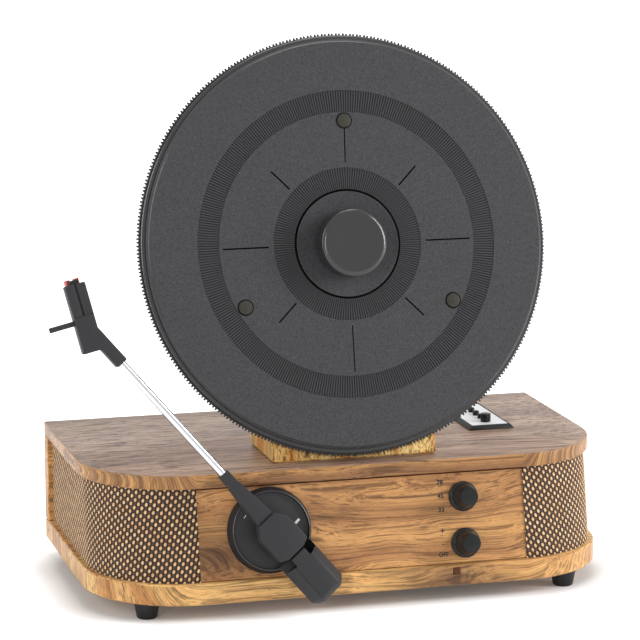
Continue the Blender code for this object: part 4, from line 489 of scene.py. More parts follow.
def finish(piece, body, material, place=None, replaces=(), angle=35):
    """Move the mesh from its bench to its place, smooth it, dress it and let it ride on its body."""
    if place is not None:
        piece.data.transform(place @ piece.matrix_world)
        piece.matrix_world = Matrix.Identity(4)
    if angle:
        work_on(piece)
        bpy.ops.object.shade_smooth_by_angle(angle=math.radians(angle))
    if not isinstance(material, (list, tuple)):
        material = [material]
    dress(piece, *material)
    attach(piece, body)
    if replaces:
        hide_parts(*replaces)
    deselect()
    print(piece.name, len(piece.data.polygons), "faces on", body)


def paint(piece, place, test, index=1):
    """Another of the piece's materials for the faces whose middle, on the bench, passes the test."""
    to_bench = place.inverted()
    for face in piece.data.polygons:
        if test(to_bench @ face.center):
            face.material_index = index


def paint_ring(piece, place, index, inside, outside, low=-1, high=1):
    """The same for the faces whose middle lies in a ring round the bench's Z axis."""
    paint(piece, place, lambda p: inside < math.hypot(p.x, p.y) < outside and low < p.z < high, index)


def bar(name, low, high):
    """A straight block between two corners."""
    bpy.ops.mesh.primitive_cube_add(size=1)
    piece = named(name)
    size = [h - l for l, h in zip(low, high)]
    middle = [(l + h) / 2 for l, h in zip(low, high)]
    piece.data.transform(Matrix.Translation(middle) @ Matrix.Diagonal((*size, 1)))
    return piece


def join_into(first, others):
    work_on(first)
    for piece in others:
        piece.select_set(True)
    bpy.ops.object.join()


def carve(piece, tool):
    """Cut the tool out of the piece and throw it away."""
    apply_modifier(piece, "BOOLEAN", operation="DIFFERENCE", object=tool, solver="EXACT")
    bpy.data.objects.remove(tool)


def outline_of(name, points):
    """A chain of edges through the points, drawn by extruding one corner again and again."""
    bpy.ops.mesh.primitive_plane_add(size=0.001)
    chain = named(name)
    go_to("EDIT")
    bpy.ops.mesh.merge(type="CENTER")
    bpy.ops.transform.translate(value=points[0])
    for before, after in zip(points, points[1:]):
        bpy.ops.mesh.extrude_region_move(TRANSFORM_OT_translate={
            "value": tuple(b - a for a, b in zip(before, after))})
    return chain


def spin(steps, merge_distance, copies=False):
    """Spin the open mesh once round the Z axis, as one skin or as separate copies."""
    bpy.ops.mesh.select_all(action="SELECT")
    bpy.ops.mesh.spin(steps=steps, dupli=copies, angle=2 * math.pi, center=(0, 0, 0), axis=(0, 0, 1))
    bpy.ops.mesh.select_all(action="SELECT")
    bpy.ops.mesh.remove_doubles(threshold=merge_distance)


def spun(name, profile, steps):
    """Turn a profile of (radius, height) corners round the Z axis, as on a lathe."""
    piece = outline_of(name, [(radius, 0, height) for radius, height in profile])
    spin(steps, 0.00002)
    bpy.ops.mesh.normals_make_consistent(inside=False)
    go_to("OBJECT")
    return piece


def spin_copies(piece, count):
    """Repeat a piece round the Z axis."""
    work_on(piece)
    go_to("EDIT")
    spin(count, 0.000001, copies=True)
    go_to("OBJECT")


def lifted(rise, profile):
    """A profile whose heights are counted from the rise."""
    return [(radius, rise + height) for radius, height in profile]


def merged_copy(node, name):
    """A copy of a CAD node with its loose triangles joined, ready for bevels and smooth shading."""
    source = frame["nodes"][node]
    piece = source.copy()
    piece.data = source.data.copy()
    for key in list(piece.keys()):
        if key.startswith("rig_"):
            del piece[key]
    piece.name = name
    piece.parent = None
    bpy.context.scene.collection.objects.link(piece)
    work_on(piece)
    bpy.ops.mesh.customdata_custom_splitnormals_clear()
    go_to("EDIT")
    bpy.ops.mesh.select_all(action="SELECT")
    bpy.ops.mesh.remove_doubles(threshold=0.00001)
    bpy.ops.mesh.dissolve_limited(angle_limit=FLAT_ANGLE)
    go_to("OBJECT")
    return piece


def softened(node, name, body, material, width, angle=35):
    """A CAD node with softened edges in place of the sharp one."""
    piece = merged_copy(node, name)
    if width:
        rounded(piece, width)
    finish(piece, body, material, replaces=[node], angle=angle)


print("modelling helpers ready")

# %% [markdown]
# ## Cabinet
# The boards are the model's own, with their flat facets joined into smooth round corners. The wood is veneer,
# so the edges stay crisp and only catch a thin line of light.

# %% Cabinet boards
for node, name, material in (
        ("top_board", "veneered_top", top_veneer), ("bottom_board", "veneered_base", board_veneer),
        ("back_panel", "veneered_back", back_veneer), ("column", "veneered_column", column_veneer)):
    softened(node, name, "cabinet", material, 0)

# %% [markdown]
# The front panel stands between the boards with a hair of room all round, and that room reads as a dark seam.
# The panel's edges are drawn in a little to widen it.

# %% Front panel
SEAM_ABOVE = 0.0011
SEAM_BELOW = 0.0003
SEAM_BESIDE = 0.0003
EDGE_ZONE = 0.0025
SIDE_ZONE = 0.001

low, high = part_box("front_panel")
panel_middle = (low.x + high.x) / 2
front = merged_copy("front_panel", "veneered_front")
for point in front.data.vertices:
    aside = point.co.x - panel_middle
    if abs(abs(aside) - (high.x - low.x) / 2) < SIDE_ZONE:
        point.co.x -= math.copysign(SEAM_BESIDE, aside)
    if point.co.z > high.z - EDGE_ZONE:
        point.co.z -= SEAM_ABOVE
    elif point.co.z < low.z + EDGE_ZONE:
        point.co.z += SEAM_BELOW
finish(front, "cabinet", panel_veneer, replaces=["front_panel"])

# %% [markdown]
# ## Grille cloth
# Left and right of the front panel a coarse cloth is stretched round the corner. Its ground is a dark brown
# weave, and pale threads surface in upright oval dots. Each row is shifted by half a step, and the whole
# weave leans a little away from the panel, because flat cloth is pulled round a leaning corner.

# %% Sizes of the cloth
CLOTH_STEP = 0.0006
DOT_PITCH = 0.0058
DOT_ROW = 0.00271
DOT_HALF_WIDTH = 0.00105
DOT_HALF_HEIGHT = 0.00150
WEAVE_LEAN = 0.20
DOT_LIFT = 0.0006
SHEET_THICKNESS = 0.0004
GRILLE_INSET = 0.0036
CORNER = 0.071

low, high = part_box("bottom_board")
board_half = (high.x - low.x) / 2
board_middle = (high.x + low.x) / 2
print("cabinet", round(2 * board_half, 4), "m wide, its middle at", round(board_middle, 4))

# %% [markdown]
# The cloth starts as a flat grid, whose points are then laid along the corner. Its own width and height in
# metres become the UV map, so colour and relief can share one pattern.

# %% Lay the cloth round the corner
def dot_height(across, up):
    """How far the pale thread stands out of the weave at a place on the cloth, 0 to 1."""
    row = round(up / DOT_ROW)
    column = (across + WEAVE_LEAN * up) / DOT_PITCH - 0.5 * (row % 2)
    sideways = (column - round(column)) * DOT_PITCH / DOT_HALF_WIDTH
    upwards = (up - row * DOT_ROW) / DOT_HALF_HEIGHT
    return math.sqrt(max(0.0, 1.0 - sideways ** 2 - upwards ** 2))


def corner_point(across, front, back, straight, radius, half):
    """A point on the grille's line and the direction that faces outwards there."""
    if across < straight:
        return half - radius - straight + across, front, 0.0, -1.0
    turned = (across - straight) / radius
    if turned < QUARTER:
        return (half - radius + radius * math.sin(turned), front + radius - radius * math.cos(turned),
                math.sin(turned), -math.cos(turned))
    return half, min(back, front + radius + across - straight - radius * QUARTER), 1.0, 0.0


def grille_cloth(side_name, side):
    low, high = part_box(side_name + "_grille_cloth")
    half = board_half - GRILLE_INSET
    radius = CORNER - GRILLE_INSET
    inner = min(abs(low.x - board_middle), abs(high.x - board_middle))
    straight = max(0.0, half - radius - inner)
    width = high.y - low.y - radius + straight + radius * QUARTER
    height = (high.z - low.z) / math.cos(LEAN)
    bpy.ops.mesh.primitive_grid_add(x_subdivisions=round(width / CLOTH_STEP), size=1,
                                    y_subdivisions=round(height / CLOTH_STEP))
    cloth = named(side_name + "_woven_cloth")
    flat = []
    for point in cloth.data.vertices:
        up = (point.co.y + 0.5) * height
        front = low.y + up * math.sin(LEAN)
        across = (point.co.x + 0.5) * (width - up * math.sin(LEAN))
        x, y, out_x, out_y = corner_point(across, front, high.y, straight, radius, half)
        sink = DOT_LIFT * (dot_height(across, up) - 1)
        point.co = (board_middle + side * (x + out_x * sink), y + out_y * sink, low.z + up * math.cos(LEAN))
        flat.append((across, up))
    uv_map = cloth.data.uv_layers[0]
    uv_map.name = "cloth_metres"
    for loop in cloth.data.loops:
        uv_map.data[loop.index].uv = flat[loop.vertex_index]
    if side < 0:
        cloth.data.flip_normals()
    apply_modifier(cloth, "SOLIDIFY", thickness=SHEET_THICKNESS, offset=-1.0)
    return cloth, width, height


print("cloth helpers ready")

# %% [markdown]
# The cloth's material draws the same dots from the UV map, with the same sizes. Between the dots brown
# threads cross over a nearly black ground, and every dot has its own tone and a frayed edge.

# %% Material of the cloth
FRAY = 0.6

cloth_material, tree, shader = new_material("woven_grille", Sheen_Weight=0.15)
uv_map = add_node(tree, "UVMap", {}, uv_map="cloth_metres")[0]
across, up = split(tree, uv_map)[:2]
row_place = maths(tree, "DIVIDE", up, DOT_ROW)
row_number = maths(tree, "ROUND", row_place)
odd = times(tree, maths(tree, "FLOORED_MODULO", row_number, 2.0), 0.5)
leaned = plus(tree, across, times(tree, up, WEAVE_LEAN))
column_place = minus(tree, maths(tree, "DIVIDE", leaned, DOT_PITCH), odd)
column_number = maths(tree, "ROUND", column_place)
aside = minus(tree, column_place, column_number)
above = minus(tree, row_place, row_number)
sideways = times(tree, aside, DOT_PITCH / DOT_HALF_WIDTH)
upwards = times(tree, above, DOT_ROW / DOT_HALF_HEIGHT)
dot = minus(tree, 1.0, plus(tree, times(tree, sideways, sideways), times(tree, upwards, upwards)))
fuzz = noise(tree, uv_map, (1500.0, 900.0, 1.0))
dot_mask = stretch(tree, plus(tree, dot, times(tree, minus(tree, fuzz, 0.5), FRAY)), -0.05, 0.35)
dot_place = merge(tree, column_number, row_number, odd)
dot_chance = add_node(tree, "TexWhiteNoise", {"Vector": dot_place})["Value"]
beside_dot = stretch(tree, maths(tree, "ABSOLUTE", aside), 0.28, 0.46)
level_with_dot = stretch(tree, maths(tree, "ABSOLUTE", above), 0.45, 0.2)
thread = times(tree, times(tree, beside_dot, level_with_dot), stretch(tree, fuzz, 0.3, 0.7))
ground = mix(tree, thread, rgb(26, 17, 12), rgb(124, 88, 62))
dot_tone = plus(tree, times(tree, dot_chance, 0.5), times(tree, fuzz, 0.5))
pale = mix(tree, dot_tone, rgb(206, 146, 88), rgb(252, 216, 166))
colour = mix(tree, dot_mask, ground, pale)
shade(tree, shader, colour, stretch(tree, dot_mask, 0, 1, 0.85, 0.6), fuzz, 0.0001)
print("cloth material has", len(tree.nodes), "nodes")

# %% [markdown]
# Both cloths come from the same helper, mirrored at the middle of the board.

# %% Left and right cloth
for side_name, side in (("left", -1), ("right", 1)):
    cloth, cloth_width, cloth_height = grille_cloth(side_name, side)
    finish(cloth, "cabinet", cloth_material, replaces=[side_name + "_grille_cloth"], angle=60)
    print(side_name, "cloth", round(cloth_width, 4), "by", round(cloth_height, 4), "m")

# %% [markdown]
# ## Platter
# The platter is a turned disc. A lathe needs only half of its section: the profile below is drawn once and
# spun round the axle in many steps, so that its circles are as round as the real ones. At its back stand the
# hub, a narrow ring for the belt and a skirt.

# %% Platter disc
TURN_STEPS = 240
SMALL_TURN_STEPS = 128
HAIR = 0.0001
EDGE = 0.0003
RIM = 0.1475
RIM_TOP = 0.0015
RIM_BEVEL = 0.0005
RIM_BACK = -0.0007
DECK = 0.0030
DISC_BORE = 0.0048
DISC_UNDER = 0.0004
DISC_BACK = -0.0047
HUB = 0.015
BELT_RING = (0.0525, 0.056)
SKIRT = (0.1352, 0.1387)
rim_inside = RIM - 0.0027
deck_edge = rim_inside - HAIR
disc = spun("turned_platter", [
    (DISC_BORE, DECK), (deck_edge, DECK), (deck_edge, EDGE), (rim_inside, EDGE), (rim_inside, RIM_TOP - HAIR),
    (rim_inside + HAIR, RIM_TOP), (RIM - RIM_BEVEL, RIM_TOP), (RIM, RIM_TOP - RIM_BEVEL), (RIM, RIM_BACK),
    (SKIRT[1], RIM_BACK), (SKIRT[1], DISC_BACK), (SKIRT[0], DISC_BACK), (SKIRT[0], DISC_UNDER),
    (BELT_RING[1], DISC_UNDER), (BELT_RING[1], DISC_BACK), (BELT_RING[0], DISC_BACK),
    (BELT_RING[0], DISC_UNDER), (HUB, DISC_UNDER), (HUB, DISC_BACK), (DISC_BORE, DISC_BACK),
    (DISC_BORE, DECK),
], TURN_STEPS)
finish(disc, "platter", platter_paint, platter_place, ["platter"])

# %% [markdown]
# The ring behind the disc carries two rows of 180 small nubs each. The rows are staggered by half a step, so
# from the front the edge shows 360 of them. One nub of each row is modelled, and the spin tool repeats it as
# separate copies. A deep groove in front of the nubs keeps a black line between the ring and the disc.

# %% Toothed ring
NUB_COUNT = 180
NUB_ROOT = 0.1484
NUB_TIP = 0.1498
NUB_ROOT_HALF = 0.00085
NUB_TIP_HALF = 0.00050
RING_BACK = -0.0052
ROW_SPLIT = -0.0040
RING_FRONT = -0.0028
RING_INSIDE = 0.1390
RING_FACE = -0.0010
GROOVE_ROOT = 0.1458
GROOVE_FRONT = -0.0012
ring = spun("toothed_ring", [
    (RING_INSIDE, RING_BACK), (NUB_ROOT - EDGE, RING_BACK), (NUB_ROOT, RING_BACK + EDGE),
    (NUB_ROOT, RING_FRONT - EDGE), (NUB_ROOT - EDGE, RING_FRONT), (GROOVE_ROOT, RING_FRONT),
    (GROOVE_ROOT, GROOVE_FRONT), (RING_INSIDE, RING_FACE), (RING_INSIDE, RING_BACK),
], TURN_STEPS)


def nub_row(name, low, high, turn):
    """One nub with a narrow back, repeated round the axle."""
    nub = bar(name, (NUB_ROOT - EDGE, -1, low), (NUB_TIP, 1, high))
    for vertex in nub.data.vertices:
        vertex.co.y = math.copysign(NUB_TIP_HALF if vertex.co.x > NUB_ROOT else NUB_ROOT_HALF, vertex.co.y)
    nub.data.transform(Matrix.Rotation(turn, 4, "Z"))
    spin_copies(nub, NUB_COUNT)
    return nub


back_row = nub_row("back_nubs", RING_BACK + HAIR, ROW_SPLIT - HAIR / 2, 0)
front_row = nub_row("front_nubs", ROW_SPLIT + HAIR / 2, RING_FRONT - HAIR, math.pi / NUB_COUNT)
join_into(ring, [back_row, front_row])
finish(ring, "platter", tooth_paint, platter_place, ["tooth_ring"], angle=30)

# %% [markdown]
# ## Mat
# The mat has two sunk bands, which the ribs fill later, and a hub with a narrow groove round it, whose floor
# is painted black as painted shade.

# %% Mat body
MAT_TOP = 0.0061
MAT_BACK = DECK + EDGE
MAT_BORE = 0.0039
WELL_FLOOR = MAT_TOP - 0.0012
OUTER_BAND = (0.0932, 0.1084)
INNER_BAND = (0.0386, 0.0538)
BAND_FLOOR = MAT_TOP - 0.0008
HUB_FLOOR = MAT_TOP - 0.0016
hub_edge = INNER_BAND[0] - 0.0014
mat_bevel = (deck_edge - 0.0020, deck_edge - 0.0015)
mat = spun("ribbed_mat", [
    (MAT_BORE, WELL_FLOOR), (0.0338, WELL_FLOOR), (0.0362, MAT_TOP - 0.0002), (0.0370, MAT_TOP),
    (hub_edge, MAT_TOP), (hub_edge, HUB_FLOOR), (INNER_BAND[0], HUB_FLOOR), (INNER_BAND[0], BAND_FLOOR),
    (INNER_BAND[1], BAND_FLOOR), (INNER_BAND[1], MAT_TOP), (OUTER_BAND[0], MAT_TOP),
    (OUTER_BAND[0], BAND_FLOOR), (OUTER_BAND[1], BAND_FLOOR), (OUTER_BAND[1], MAT_TOP),
    (mat_bevel[0], MAT_TOP), (mat_bevel[1], MAT_TOP - 0.0004), (deck_edge, DECK + 0.0006),
    (deck_edge, MAT_BACK), (MAT_BORE, MAT_BACK), (MAT_BORE, WELL_FLOOR),
], TURN_STEPS)
print("mat body", len(mat.data.polygons), "faces")

# %% [markdown]
# Eight lines are engraved between the bands. They are cut with a Boolean modifier, because an engraved line
# has walls and a floor that catch the light. Then the sunk places and the bevel round the mat take their own
# materials. The hub's groove and the lines are painted near-black and the floors between the ribs dark grey,
# both as painted shade, and the bevel takes the platter's glossier paint.

# %% Engraved lines
LINE_WIDTH = 0.0011
FINE_LINE = 0.0008
LINE_DEPTH = 0.0008
LONG_LINE = (0.0575, 0.0905)
SHORT_LINE = (0.0565, 0.0750)
LINE_ZONE = (0.0555, 0.0915)
PAINT_FLOOR = DECK + 0.0010


def line_tool(degrees, span, width):
    """A thin bar across the mat's face, where a line is cut."""
    tool = bar("engraving_bar", (span[0], -width / 2, MAT_TOP - LINE_DEPTH),
               (span[1], width / 2, MAT_TOP + LINE_DEPTH))
    tool.data.transform(Matrix.Rotation(math.radians(degrees), 4, "Z"))
    return tool


tools = [line_tool(degrees, LONG_LINE, width) for degrees, width in (
    (0, LINE_WIDTH), (88.5, FINE_LINE), (180, LINE_WIDTH), (270, FINE_LINE))]
tools += [line_tool(45 + 90 * i, SHORT_LINE, LINE_WIDTH) for i in range(4)]
join_into(tools[0], tools[1:])
carve(mat, tools[0])
finish(mat, "platter", [mat_rubber, painted_shade_black, painted_shade_grey, platter_paint], platter_place, ["platter_mat"],
       angle=30)
# Painted shade: 1 is near-black in the hub's groove and the lines, 2 is dark grey between the ribs, and 3 is
# the glossier paint.
for index, inside, outside, top in (
        (1, hub_edge - HAIR, INNER_BAND[0], MAT_TOP - HAIR), (1, *LINE_ZONE, MAT_TOP - HAIR),
        (2, *INNER_BAND, MAT_TOP - HAIR), (2, *OUTER_BAND, MAT_TOP - HAIR), (3, *mat_bevel, 1)):
    paint_ring(mat, platter_place, index, inside, outside, PAINT_FLOOR, top)

# %% [markdown]
# The outer band holds 360 fine radial ribs and the inner one 180. Each rib has a broad foot and a narrow
# back.

# %% Ribs of the mat
RIB_GAP = 0.0002
RIB_RISE = 0.0007
RIB_FOOT_SHARE = 0.80
RIB_BACK_SHARE = 0.44


def rib_ring(name, band, count):
    """One rib, repeated round the axle; its width is a share of the room that each rib has."""
    rib = bar(name, (band[0] + RIB_GAP, -1, BAND_FLOOR - HAIR), (band[1] - RIB_GAP, 1, BAND_FLOOR + RIB_RISE))
    for vertex in rib.data.vertices:
        pitch = 2 * math.pi * vertex.co.x / count
        share = RIB_BACK_SHARE if vertex.co.z > BAND_FLOOR else RIB_FOOT_SHARE
        vertex.co.y = math.copysign(pitch * share / 2, vertex.co.y)
    spin_copies(rib, count)
    finish(rib, "platter", rib_rubber, platter_place, angle=None)


rib_ring("outer_ribs", OUTER_BAND, 360)
rib_ring("inner_ribs", INNER_BAND, 180)

# %% [markdown]
# Three round rubber buttons sit between the bands, each with a black ring round it, which is painted shade of
# the groove round the button.

# %% Rubber buttons of the mat
BUTTON_STEPS = 48
BUTTON_REACH = 0.087
BUTTON_RING = 0.0057
button_profile = lifted(MAT_TOP, [
    (0, 0.0012), (0.0042, 0.0011), (0.0048, 0.0008), (0.0050, EDGE), (BUTTON_RING, EDGE), (BUTTON_RING, HAIR),
    (0, HAIR)])
for number, degrees in enumerate((88.5, 208.3, 330.0), 1):
    button = spun("mat_button_%d" % number, button_profile, BUTTON_STEPS)
    turn = math.radians(degrees)
    place = (BUTTON_REACH * math.cos(turn), BUTTON_REACH * math.sin(turn), 0)
    spot = platter_place @ Matrix.Translation(place)
    finish(button, "platter", [button_olive, painted_shade_black], spot, ["mat_stud_%d" % number])
    # Painted shade: the ring round the button is near-black.
    paint_ring(button, spot, 1, 0.0049, 1)

# %% [markdown]
# ## Record clamp
# The puck in the middle is a turned cylinder. Its face rises a little to a narrow rim, and the rim and the
# broad chamfer catch the lamps as bright crescents.

# %% Record clamp
CLAMP = 0.0234
CLAMP_BACK = -0.0009
CLAMP_BORE = 0.0039
CLAMP_BORE_END = 0.0121
clamp = spun("turned_clamp", lifted(MAT_TOP, [
    (0, 0.0189), (0.0190, 0.0190), (0.0204, 0.0192), (0.0209, 0.0191), (0.0229, 0.0181), (CLAMP, 0.0175),
    (CLAMP, 0.0008), (0.0226, -0.0002), (0.0215, CLAMP_BACK), (CLAMP_BORE, CLAMP_BACK),
    (CLAMP_BORE, CLAMP_BORE_END), (0, CLAMP_BORE_END),
]), SMALL_TURN_STEPS)
finish(clamp, "clamp", clamp_paint, platter_place, ["record_clamp"])

# %% [markdown]
# ## Tonearm
# The arm's parts keep the model's shapes, and most get a small bevel, because cast and folded edges are never
# perfectly sharp. The drum under it is turned again with a sloping wall and a dished face, which carries two
# small white marks. Its outer wall is painted dark grey as painted shade.

# %% Drum
arm_place = leaning_place(joints["tonearm_swing"]["pos_m"])
DRUM = 0.0302
DRUM_FACE = 0.0278
DRUM_FLOOR = 0.0266
DRUM_TALL = 0.0080
DRUM_DISH = 0.0056
DRUM_BORE = 0.0053
DRUM_BOSS_TOP = 0.0113
DRUM_STEM = 0.0085
DRUM_STEM_END = -0.0127
MARK_THICKNESS = 0.0001
MARK_RISE = 0.00003
drum = spun("arm_drum", [
    (DRUM_BORE, DRUM_BOSS_TOP), (0.0080, DRUM_BOSS_TOP), (0.0090, DRUM_DISH), (DRUM_FLOOR, DRUM_DISH),
    (DRUM_FACE - 0.0009, DRUM_TALL - 0.0004), (DRUM_FACE - 0.0005, DRUM_TALL),
    (DRUM_FACE, DRUM_TALL - 0.0002), (DRUM, 0.0014), (DRUM, EDGE), (DRUM_STEM, EDGE),
    (DRUM_STEM, DRUM_STEM_END), (DRUM_BORE, DRUM_STEM_END), (DRUM_BORE, DRUM_BOSS_TOP)], SMALL_TURN_STEPS)
finish(drum, "cabinet", [drum_paint, painted_shade_grey, platter_paint], arm_place, ["tonearm_base"], angle=20)
# Painted shade: the drum's outer wall is dark grey.
paint_ring(drum, arm_place, 1, DRUM_FACE, 1)
paint_ring(drum, arm_place, 2, DRUM_FACE - 0.0005, DRUM_FACE, 0.0070)

for name, across, up, length, width, turn in (
        ("drum_mark", 0.0193, 0.0052, 0.0042, 0.0018, 43),
        ("drum_tick", -0.0181, 0.0107, 0.0026, 0.0004, 55)):
    mark = bar(name, (-length / 2, -width / 2, 0), (length / 2, width / 2, MARK_THICKNESS))
    spot = arm_place @ Matrix.Translation((across, up, DRUM_DISH + MARK_RISE)) @ Matrix.Rotation(
        math.radians(turn), 4, "Z")
    finish(mark, "cabinet", mark_white, spot, angle=None)

# %% [markdown]
# The arm has its own bench: across it, along it towards the shell, and out of the panel.

# %% Arm bench
arm_across = Vector(joints["tonearm_lift"]["axis"])
arm_out = arm_place.to_3x3() @ Vector((0, 0, 1))
arm_along = arm_out.cross(arm_across)
arm_bench = Matrix.Translation(Vector(joints["tonearm_swing"]["pos_m"])) @ Matrix(
    (arm_across, arm_along, arm_out)).transposed().to_4x4()
SHELL_TURN = math.radians(26.8)
shell_bench = arm_bench @ Matrix.Rotation(-SHELL_TURN, 4, "Z")
print("arm along", [round(v, 3) for v in arm_along])

# %% [markdown]
# The weight gets a crease along its left flank, and its notches are painted dark as painted shade: the right
# one near-black, the left one dark grey.

# %% Weight
WEIGHT_TOP = 0.0242
CREASE_SIDE = -0.0080
NOTCH_START = -0.0279
NOTCH_SIDE = 0.0061
NOTCH_TOP = WEIGHT_TOP - 0.0012
weight = merged_copy("counterweight", "arm_weight")
rounded(weight, 0.0005)
crease = bar("crease", (CREASE_SIDE - 0.0003, -0.0640, WEIGHT_TOP - 0.0005),
             (CREASE_SIDE + 0.0002, -0.0280, WEIGHT_TOP + 0.001))
crease.data.transform(arm_bench)
carve(weight, crease)
finish(weight, "tonearm", [arm_paint, painted_shade_black, painted_shade_grey], replaces=["counterweight"])
# Painted shade in the notches.
for index, side in ((1, 1), (2, -1)):
    paint(weight, arm_bench,
          lambda p: p.y > NOTCH_START and side * p.x > NOTCH_SIDE and p.z < NOTCH_TOP, index)

# %% [markdown]
# The headshell gets a lengthwise groove and a line across it at the finger lift, both painted dark grey as
# painted shade.

# %% Headshell
SHELL_SIDE = -0.0883
SHELL_TOP = 0.0222
GROOVE_HALF = 0.00075
CROSS_START = 0.1798
CROSS_END = 0.1803
shell = merged_copy("headshell", "arm_headshell")
rounded(shell, 0.0003)
long_groove = bar("long_groove", (SHELL_SIDE - GROOVE_HALF, 0.1804, SHELL_TOP - 0.0008),
                  (SHELL_SIDE + GROOVE_HALF, 0.2034, SHELL_TOP + 0.001))
cross_groove = bar("cross_groove", (SHELL_SIDE - 0.0080, CROSS_START, SHELL_TOP - 0.0004),
                   (SHELL_SIDE + 0.0080, CROSS_END, SHELL_TOP + 0.001))
join_into(long_groove, [cross_groove])
long_groove.data.transform(shell_bench)
carve(shell, long_groove)


def in_shell_groove(point):
    """Whether a place lies in the lengthwise groove or in the line across it."""
    aside = abs(point.x - SHELL_SIDE)
    in_reach = CROSS_START < point.y < 0.2020 and SHELL_TOP - 0.0010 < point.z < SHELL_TOP - 0.00005
    return in_reach and aside < 0.0071 and (aside < 0.0009 or point.y < CROSS_END)


finish(shell, "tonearm", [arm_paint, painted_shade_grey], replaces=["headshell"])
# Painted shade: the groove and the line across it are dark grey.
paint(shell, shell_bench, in_shell_groove)

# %% [markdown]
# Between the red stylus holder's two horns the cartridge's dark nose comes forward, so only the outer side of
# each horn shows red.

# %% Cartridge nose
HORN_TOP = 0.0210
NOSE_HALF = 0.0034
nose = bar("cartridge_nose", (SHELL_SIDE - NOSE_HALF, 0.2021, 0.0156),
           (SHELL_SIDE + NOSE_HALF, 0.2052, HORN_TOP - 0.0006))
rounded(nose, 0.0003)
finish(nose, "tonearm", black_plastic, shell_bench)

# %% [markdown]
# The other parts of the arm, and the feet, the bezel and the knobs, keep their shapes too. A small bevel
# takes the sharpness off them, but the round tube and the feet go without.

# %% Other arm parts
for node, name, material, width in (
        ("tonearm_housing", "arm_cover", arm_paint, 0.0006),
        ("tonearm_sleeve", "arm_sleeve", arm_paint, 0.0004), ("finger_lift", "arm_lift", arm_paint, 0.0003),
        ("cartridge", "arm_cartridge", black_plastic, 0.0003),
        ("stylus_holder", "arm_stylus_holder", shell_red, 0.0002)):
    softened(node, name, "tonearm", material, width)
softened("tonearm_tube", "arm_tube", "tonearm", tube_silver, 0, angle=50)

# %% Feet, bezel, indicator and knobs
for number, corner in enumerate(("front_left", "front_right", "back_left", "back_right"), 1):
    softened("foot_" + corner, "rubber_foot_%d" % number, "cabinet", foot_rubber, 0, angle=40)
for node, name, body, material, width in (
        ("control_bezel", "moulded_bezel", "cabinet", black_plastic, 0.0004),
        ("power_indicator", "indicator_lens", "cabinet", lens_brown, 0.0003),
        ("source_knob", "ribbed_source_knob", "source_knob", knob_plastic, 0.0002),
        ("speed_knob", "fluted_speed_knob", "speed_knob", knob_plastic, 0.0002),
        ("volume_knob", "fluted_volume_knob", "volume_knob", knob_plastic, 0.0002)):
    softened(node, name, body, material, width, angle=40)

# %% [markdown]
# ## Printed labels
# Beside the knobs the panel carries small printed numbers and signs. Text is made a mesh before it is placed,
# and stands a few hundredths of a millimetre above the wood, as ink does.

# %% Labels
panel_rise = (platter_place.inverted() @ Vector(joints["speed_turn"]["pos_m"])).z
panel_face = leaning_place(platter_place @ Vector((0, 0, panel_rise)))
LABEL_ACROSS = 0.0577
INK_RISE = 0.00006
INK_SPREAD = 0.00012

for name, words, size, up in (
        ("label_78", "78", 0.0046, -0.1721), ("label_45", "45", 0.0046, -0.1818),
        ("label_33", "33", 0.0046, -0.1916), ("label_plus", "+", 0.0060, -0.2067),
        ("label_minus", "-", 0.0050, -0.2158), ("label_off", "OFF", 0.0042, -0.2234)):
    bpy.ops.object.text_add()
    piece = named(name)
    configure(piece.data, {"body": words, "size": size, "align_x": "CENTER", "align_y": "CENTER",
                           "extrude": INK_RISE / 2, "offset": INK_SPREAD})
    bpy.ops.object.convert(target="MESH")
    piece = bpy.context.active_object
    piece.data.transform(Matrix.Translation((LABEL_ACROSS, up, INK_RISE)))
    finish(piece, "cabinet", label_ink, panel_face, angle=None)

# %% [markdown]
# ## Materials of the remaining nodes
# Every other part of the model is shown as it is and takes a material here.

# %% Dress the remaining nodes
node_materials = {node: material for material, nodes in (
    (black_plastic, ("left_grille_frame", "right_grille_frame", "terminal_plate", "power_inlet",
                     "column_back_cover", "speed_switch", "volume_control")),
    (speaker_wood, ("left_speaker_board", "right_speaker_board")),
    (basket_steel, ("left_speaker", "right_speaker", "motor")),
    (cone_paper, ("left_speaker_cone", "right_speaker_cone")),
    (turned_steel, ("spindle", "spindle_bearing", "tilt_pin", "stylus")),
    (knob_plastic, ("push_button_1", "push_button_2", "push_button_3")),
    (socket_gold, ("audio_sockets",)), (face_paint, ("control_face",)), (pulley_brass, ("motor_pulley",)),
    (belt_rubber, ("drive_belt",)), (arm_paint, ("tonearm_yoke",)), (board_green, ("main_board",)),
) for node in nodes}
for node, part in frame["nodes"].items():
    if not part.hide_render:
        dress(part, node_materials[node])
print(len(node_materials), "nodes dressed")

# %% [markdown]
# ## Floor and light
# The photograph shows the player on white, with a soft shadow under it. The floor is a plain pale plane that
# gives off light of its own to the camera, so that it reads as white. Round the foot of the player, in a zone
# with round corners, it gives off much less, so that the real shadow shows there.

# %% Floor
WHITE = (1, 1, 1, 1)
FLOOR_SIZE = 12
ZONE_MIDDLE = (0.015, 0.01)
ZONE_HALF = (0.205, 0.11)
ZONE_CORNER = 0.07
ZONE_GLOW = 0.06
OPEN_GLOW = 0.90
FAR_GLOW = 0.35

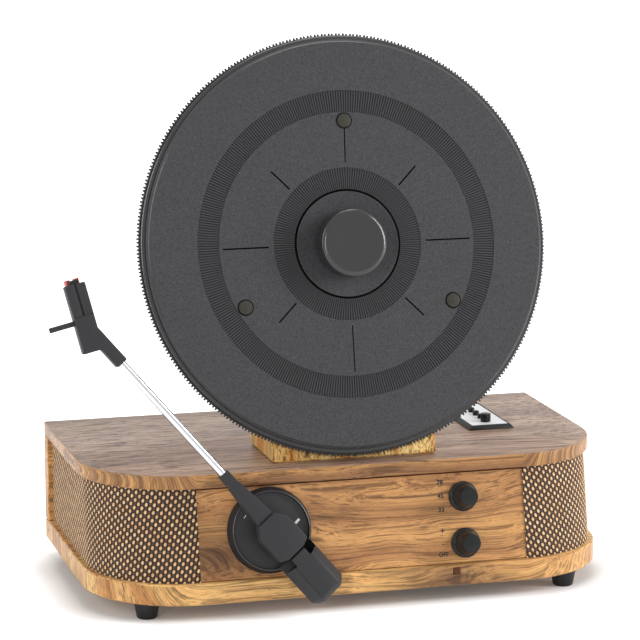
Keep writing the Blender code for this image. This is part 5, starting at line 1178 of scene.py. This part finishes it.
bpy.ops.mesh.primitive_plane_add(size=FLOOR_SIZE)
floor = named("floor")
floor_material, tree, shader = new_material(
    "floor_white", Roughness=0.9, Specular_IOR_Level=0.0, Base_Color=(0.8, 0.8, 0.8, 1), Emission_Color=WHITE)
path = add_node(tree, "LightPath", {})
seen = plus(tree, path["Is Camera Ray"], path["Is Glossy Ray"], clamp=True)
place = add_node(tree, "TexCoord", {})["Object"]
corner = []
for axis, middle, half in zip(split(tree, place), ZONE_MIDDLE, ZONE_HALF):
    beyond = minus(tree, maths(tree, "ABSOLUTE", minus(tree, axis, middle)), half)
    corner.append(maths(tree, "MAXIMUM", plus(tree, beyond, ZONE_CORNER), 0))
clear = minus(tree, length_of(tree, merge(tree, *corner)), ZONE_CORNER)
near_glow = stretch(tree, clear, -0.014, 0.024, ZONE_GLOW, OPEN_GLOW)
far_glow = stretch(tree, length_of(tree, place), 0.4, 2.4, 0, FAR_GLOW)
feed(tree, shader, {"Emission Strength": times(tree, seen, plus(tree, near_glow, far_glow))})
dress(floor, floor_material)

# %% [markdown]
# The room itself looks white to the camera and in reflections, but lights the player with less. Five soft
# lamps stand round it: a tall one and a narrow strip at the right, the same at the left and the front, and a
# broad one above.

# %% Light
ROOM_LIGHT = 0.40

world = bpy.data.worlds.new("studio")
bpy.context.scene.world = world
world.use_nodes = True
tree = world.node_tree
path = add_node(tree, "LightPath", {})
mirrored = maths(tree, "MAXIMUM", path["Is Glossy Ray"], path["Is Transmission Ray"])
seen = maths(tree, "MAXIMUM", path["Is Camera Ray"], mirrored)
feed(tree, tree.nodes["Background"], {"Color": WHITE, "Strength": stretch(tree, seen, 0, 1, ROOM_LIGHT, 1.0)})


def soft_lamp(name, place, target, width, height, power):
    data = bpy.data.lights.new(name, "AREA")
    configure(data, {"shape": "RECTANGLE", "size": width, "size_y": height, "energy": power})
    lamp = bpy.data.objects.new(name, data)
    bpy.context.scene.collection.objects.link(lamp)
    direction = Vector(target) - Vector(place)
    lamp.matrix_world = Matrix.Translation(place) @ direction.to_track_quat("-Z", "Y").to_matrix().to_4x4()


soft_lamp("right_softbox", (1.7, -0.9, 1.0), (0, 0, 0.2), 0.4, 1.4, 23)
soft_lamp("right_strip", (1.80, -0.69, 0.6), (0, 0, 0.25), 0.09, 1.1, 9)
soft_lamp("left_softbox", (-1.5, -0.2, 0.7), (0, 0, 0.2), 0.2, 1.2, 7)
soft_lamp("front_strip", (-1.12, -1.50, 0.62), (0, 0, 0.25), 0.09, 0.9, 7)
soft_lamp("top_softbox", (0.2, 0.4, 2.2), (0, 0, 0.2), 1.2, 1.0, 14)
bpy.context.scene.view_settings.view_transform = "Standard"
print(len(bpy.data.lights), "lamps")

# %% [markdown]
# At the end the scene's view layer is brought up to date.

# %% Finish
bpy.context.view_layer.update()
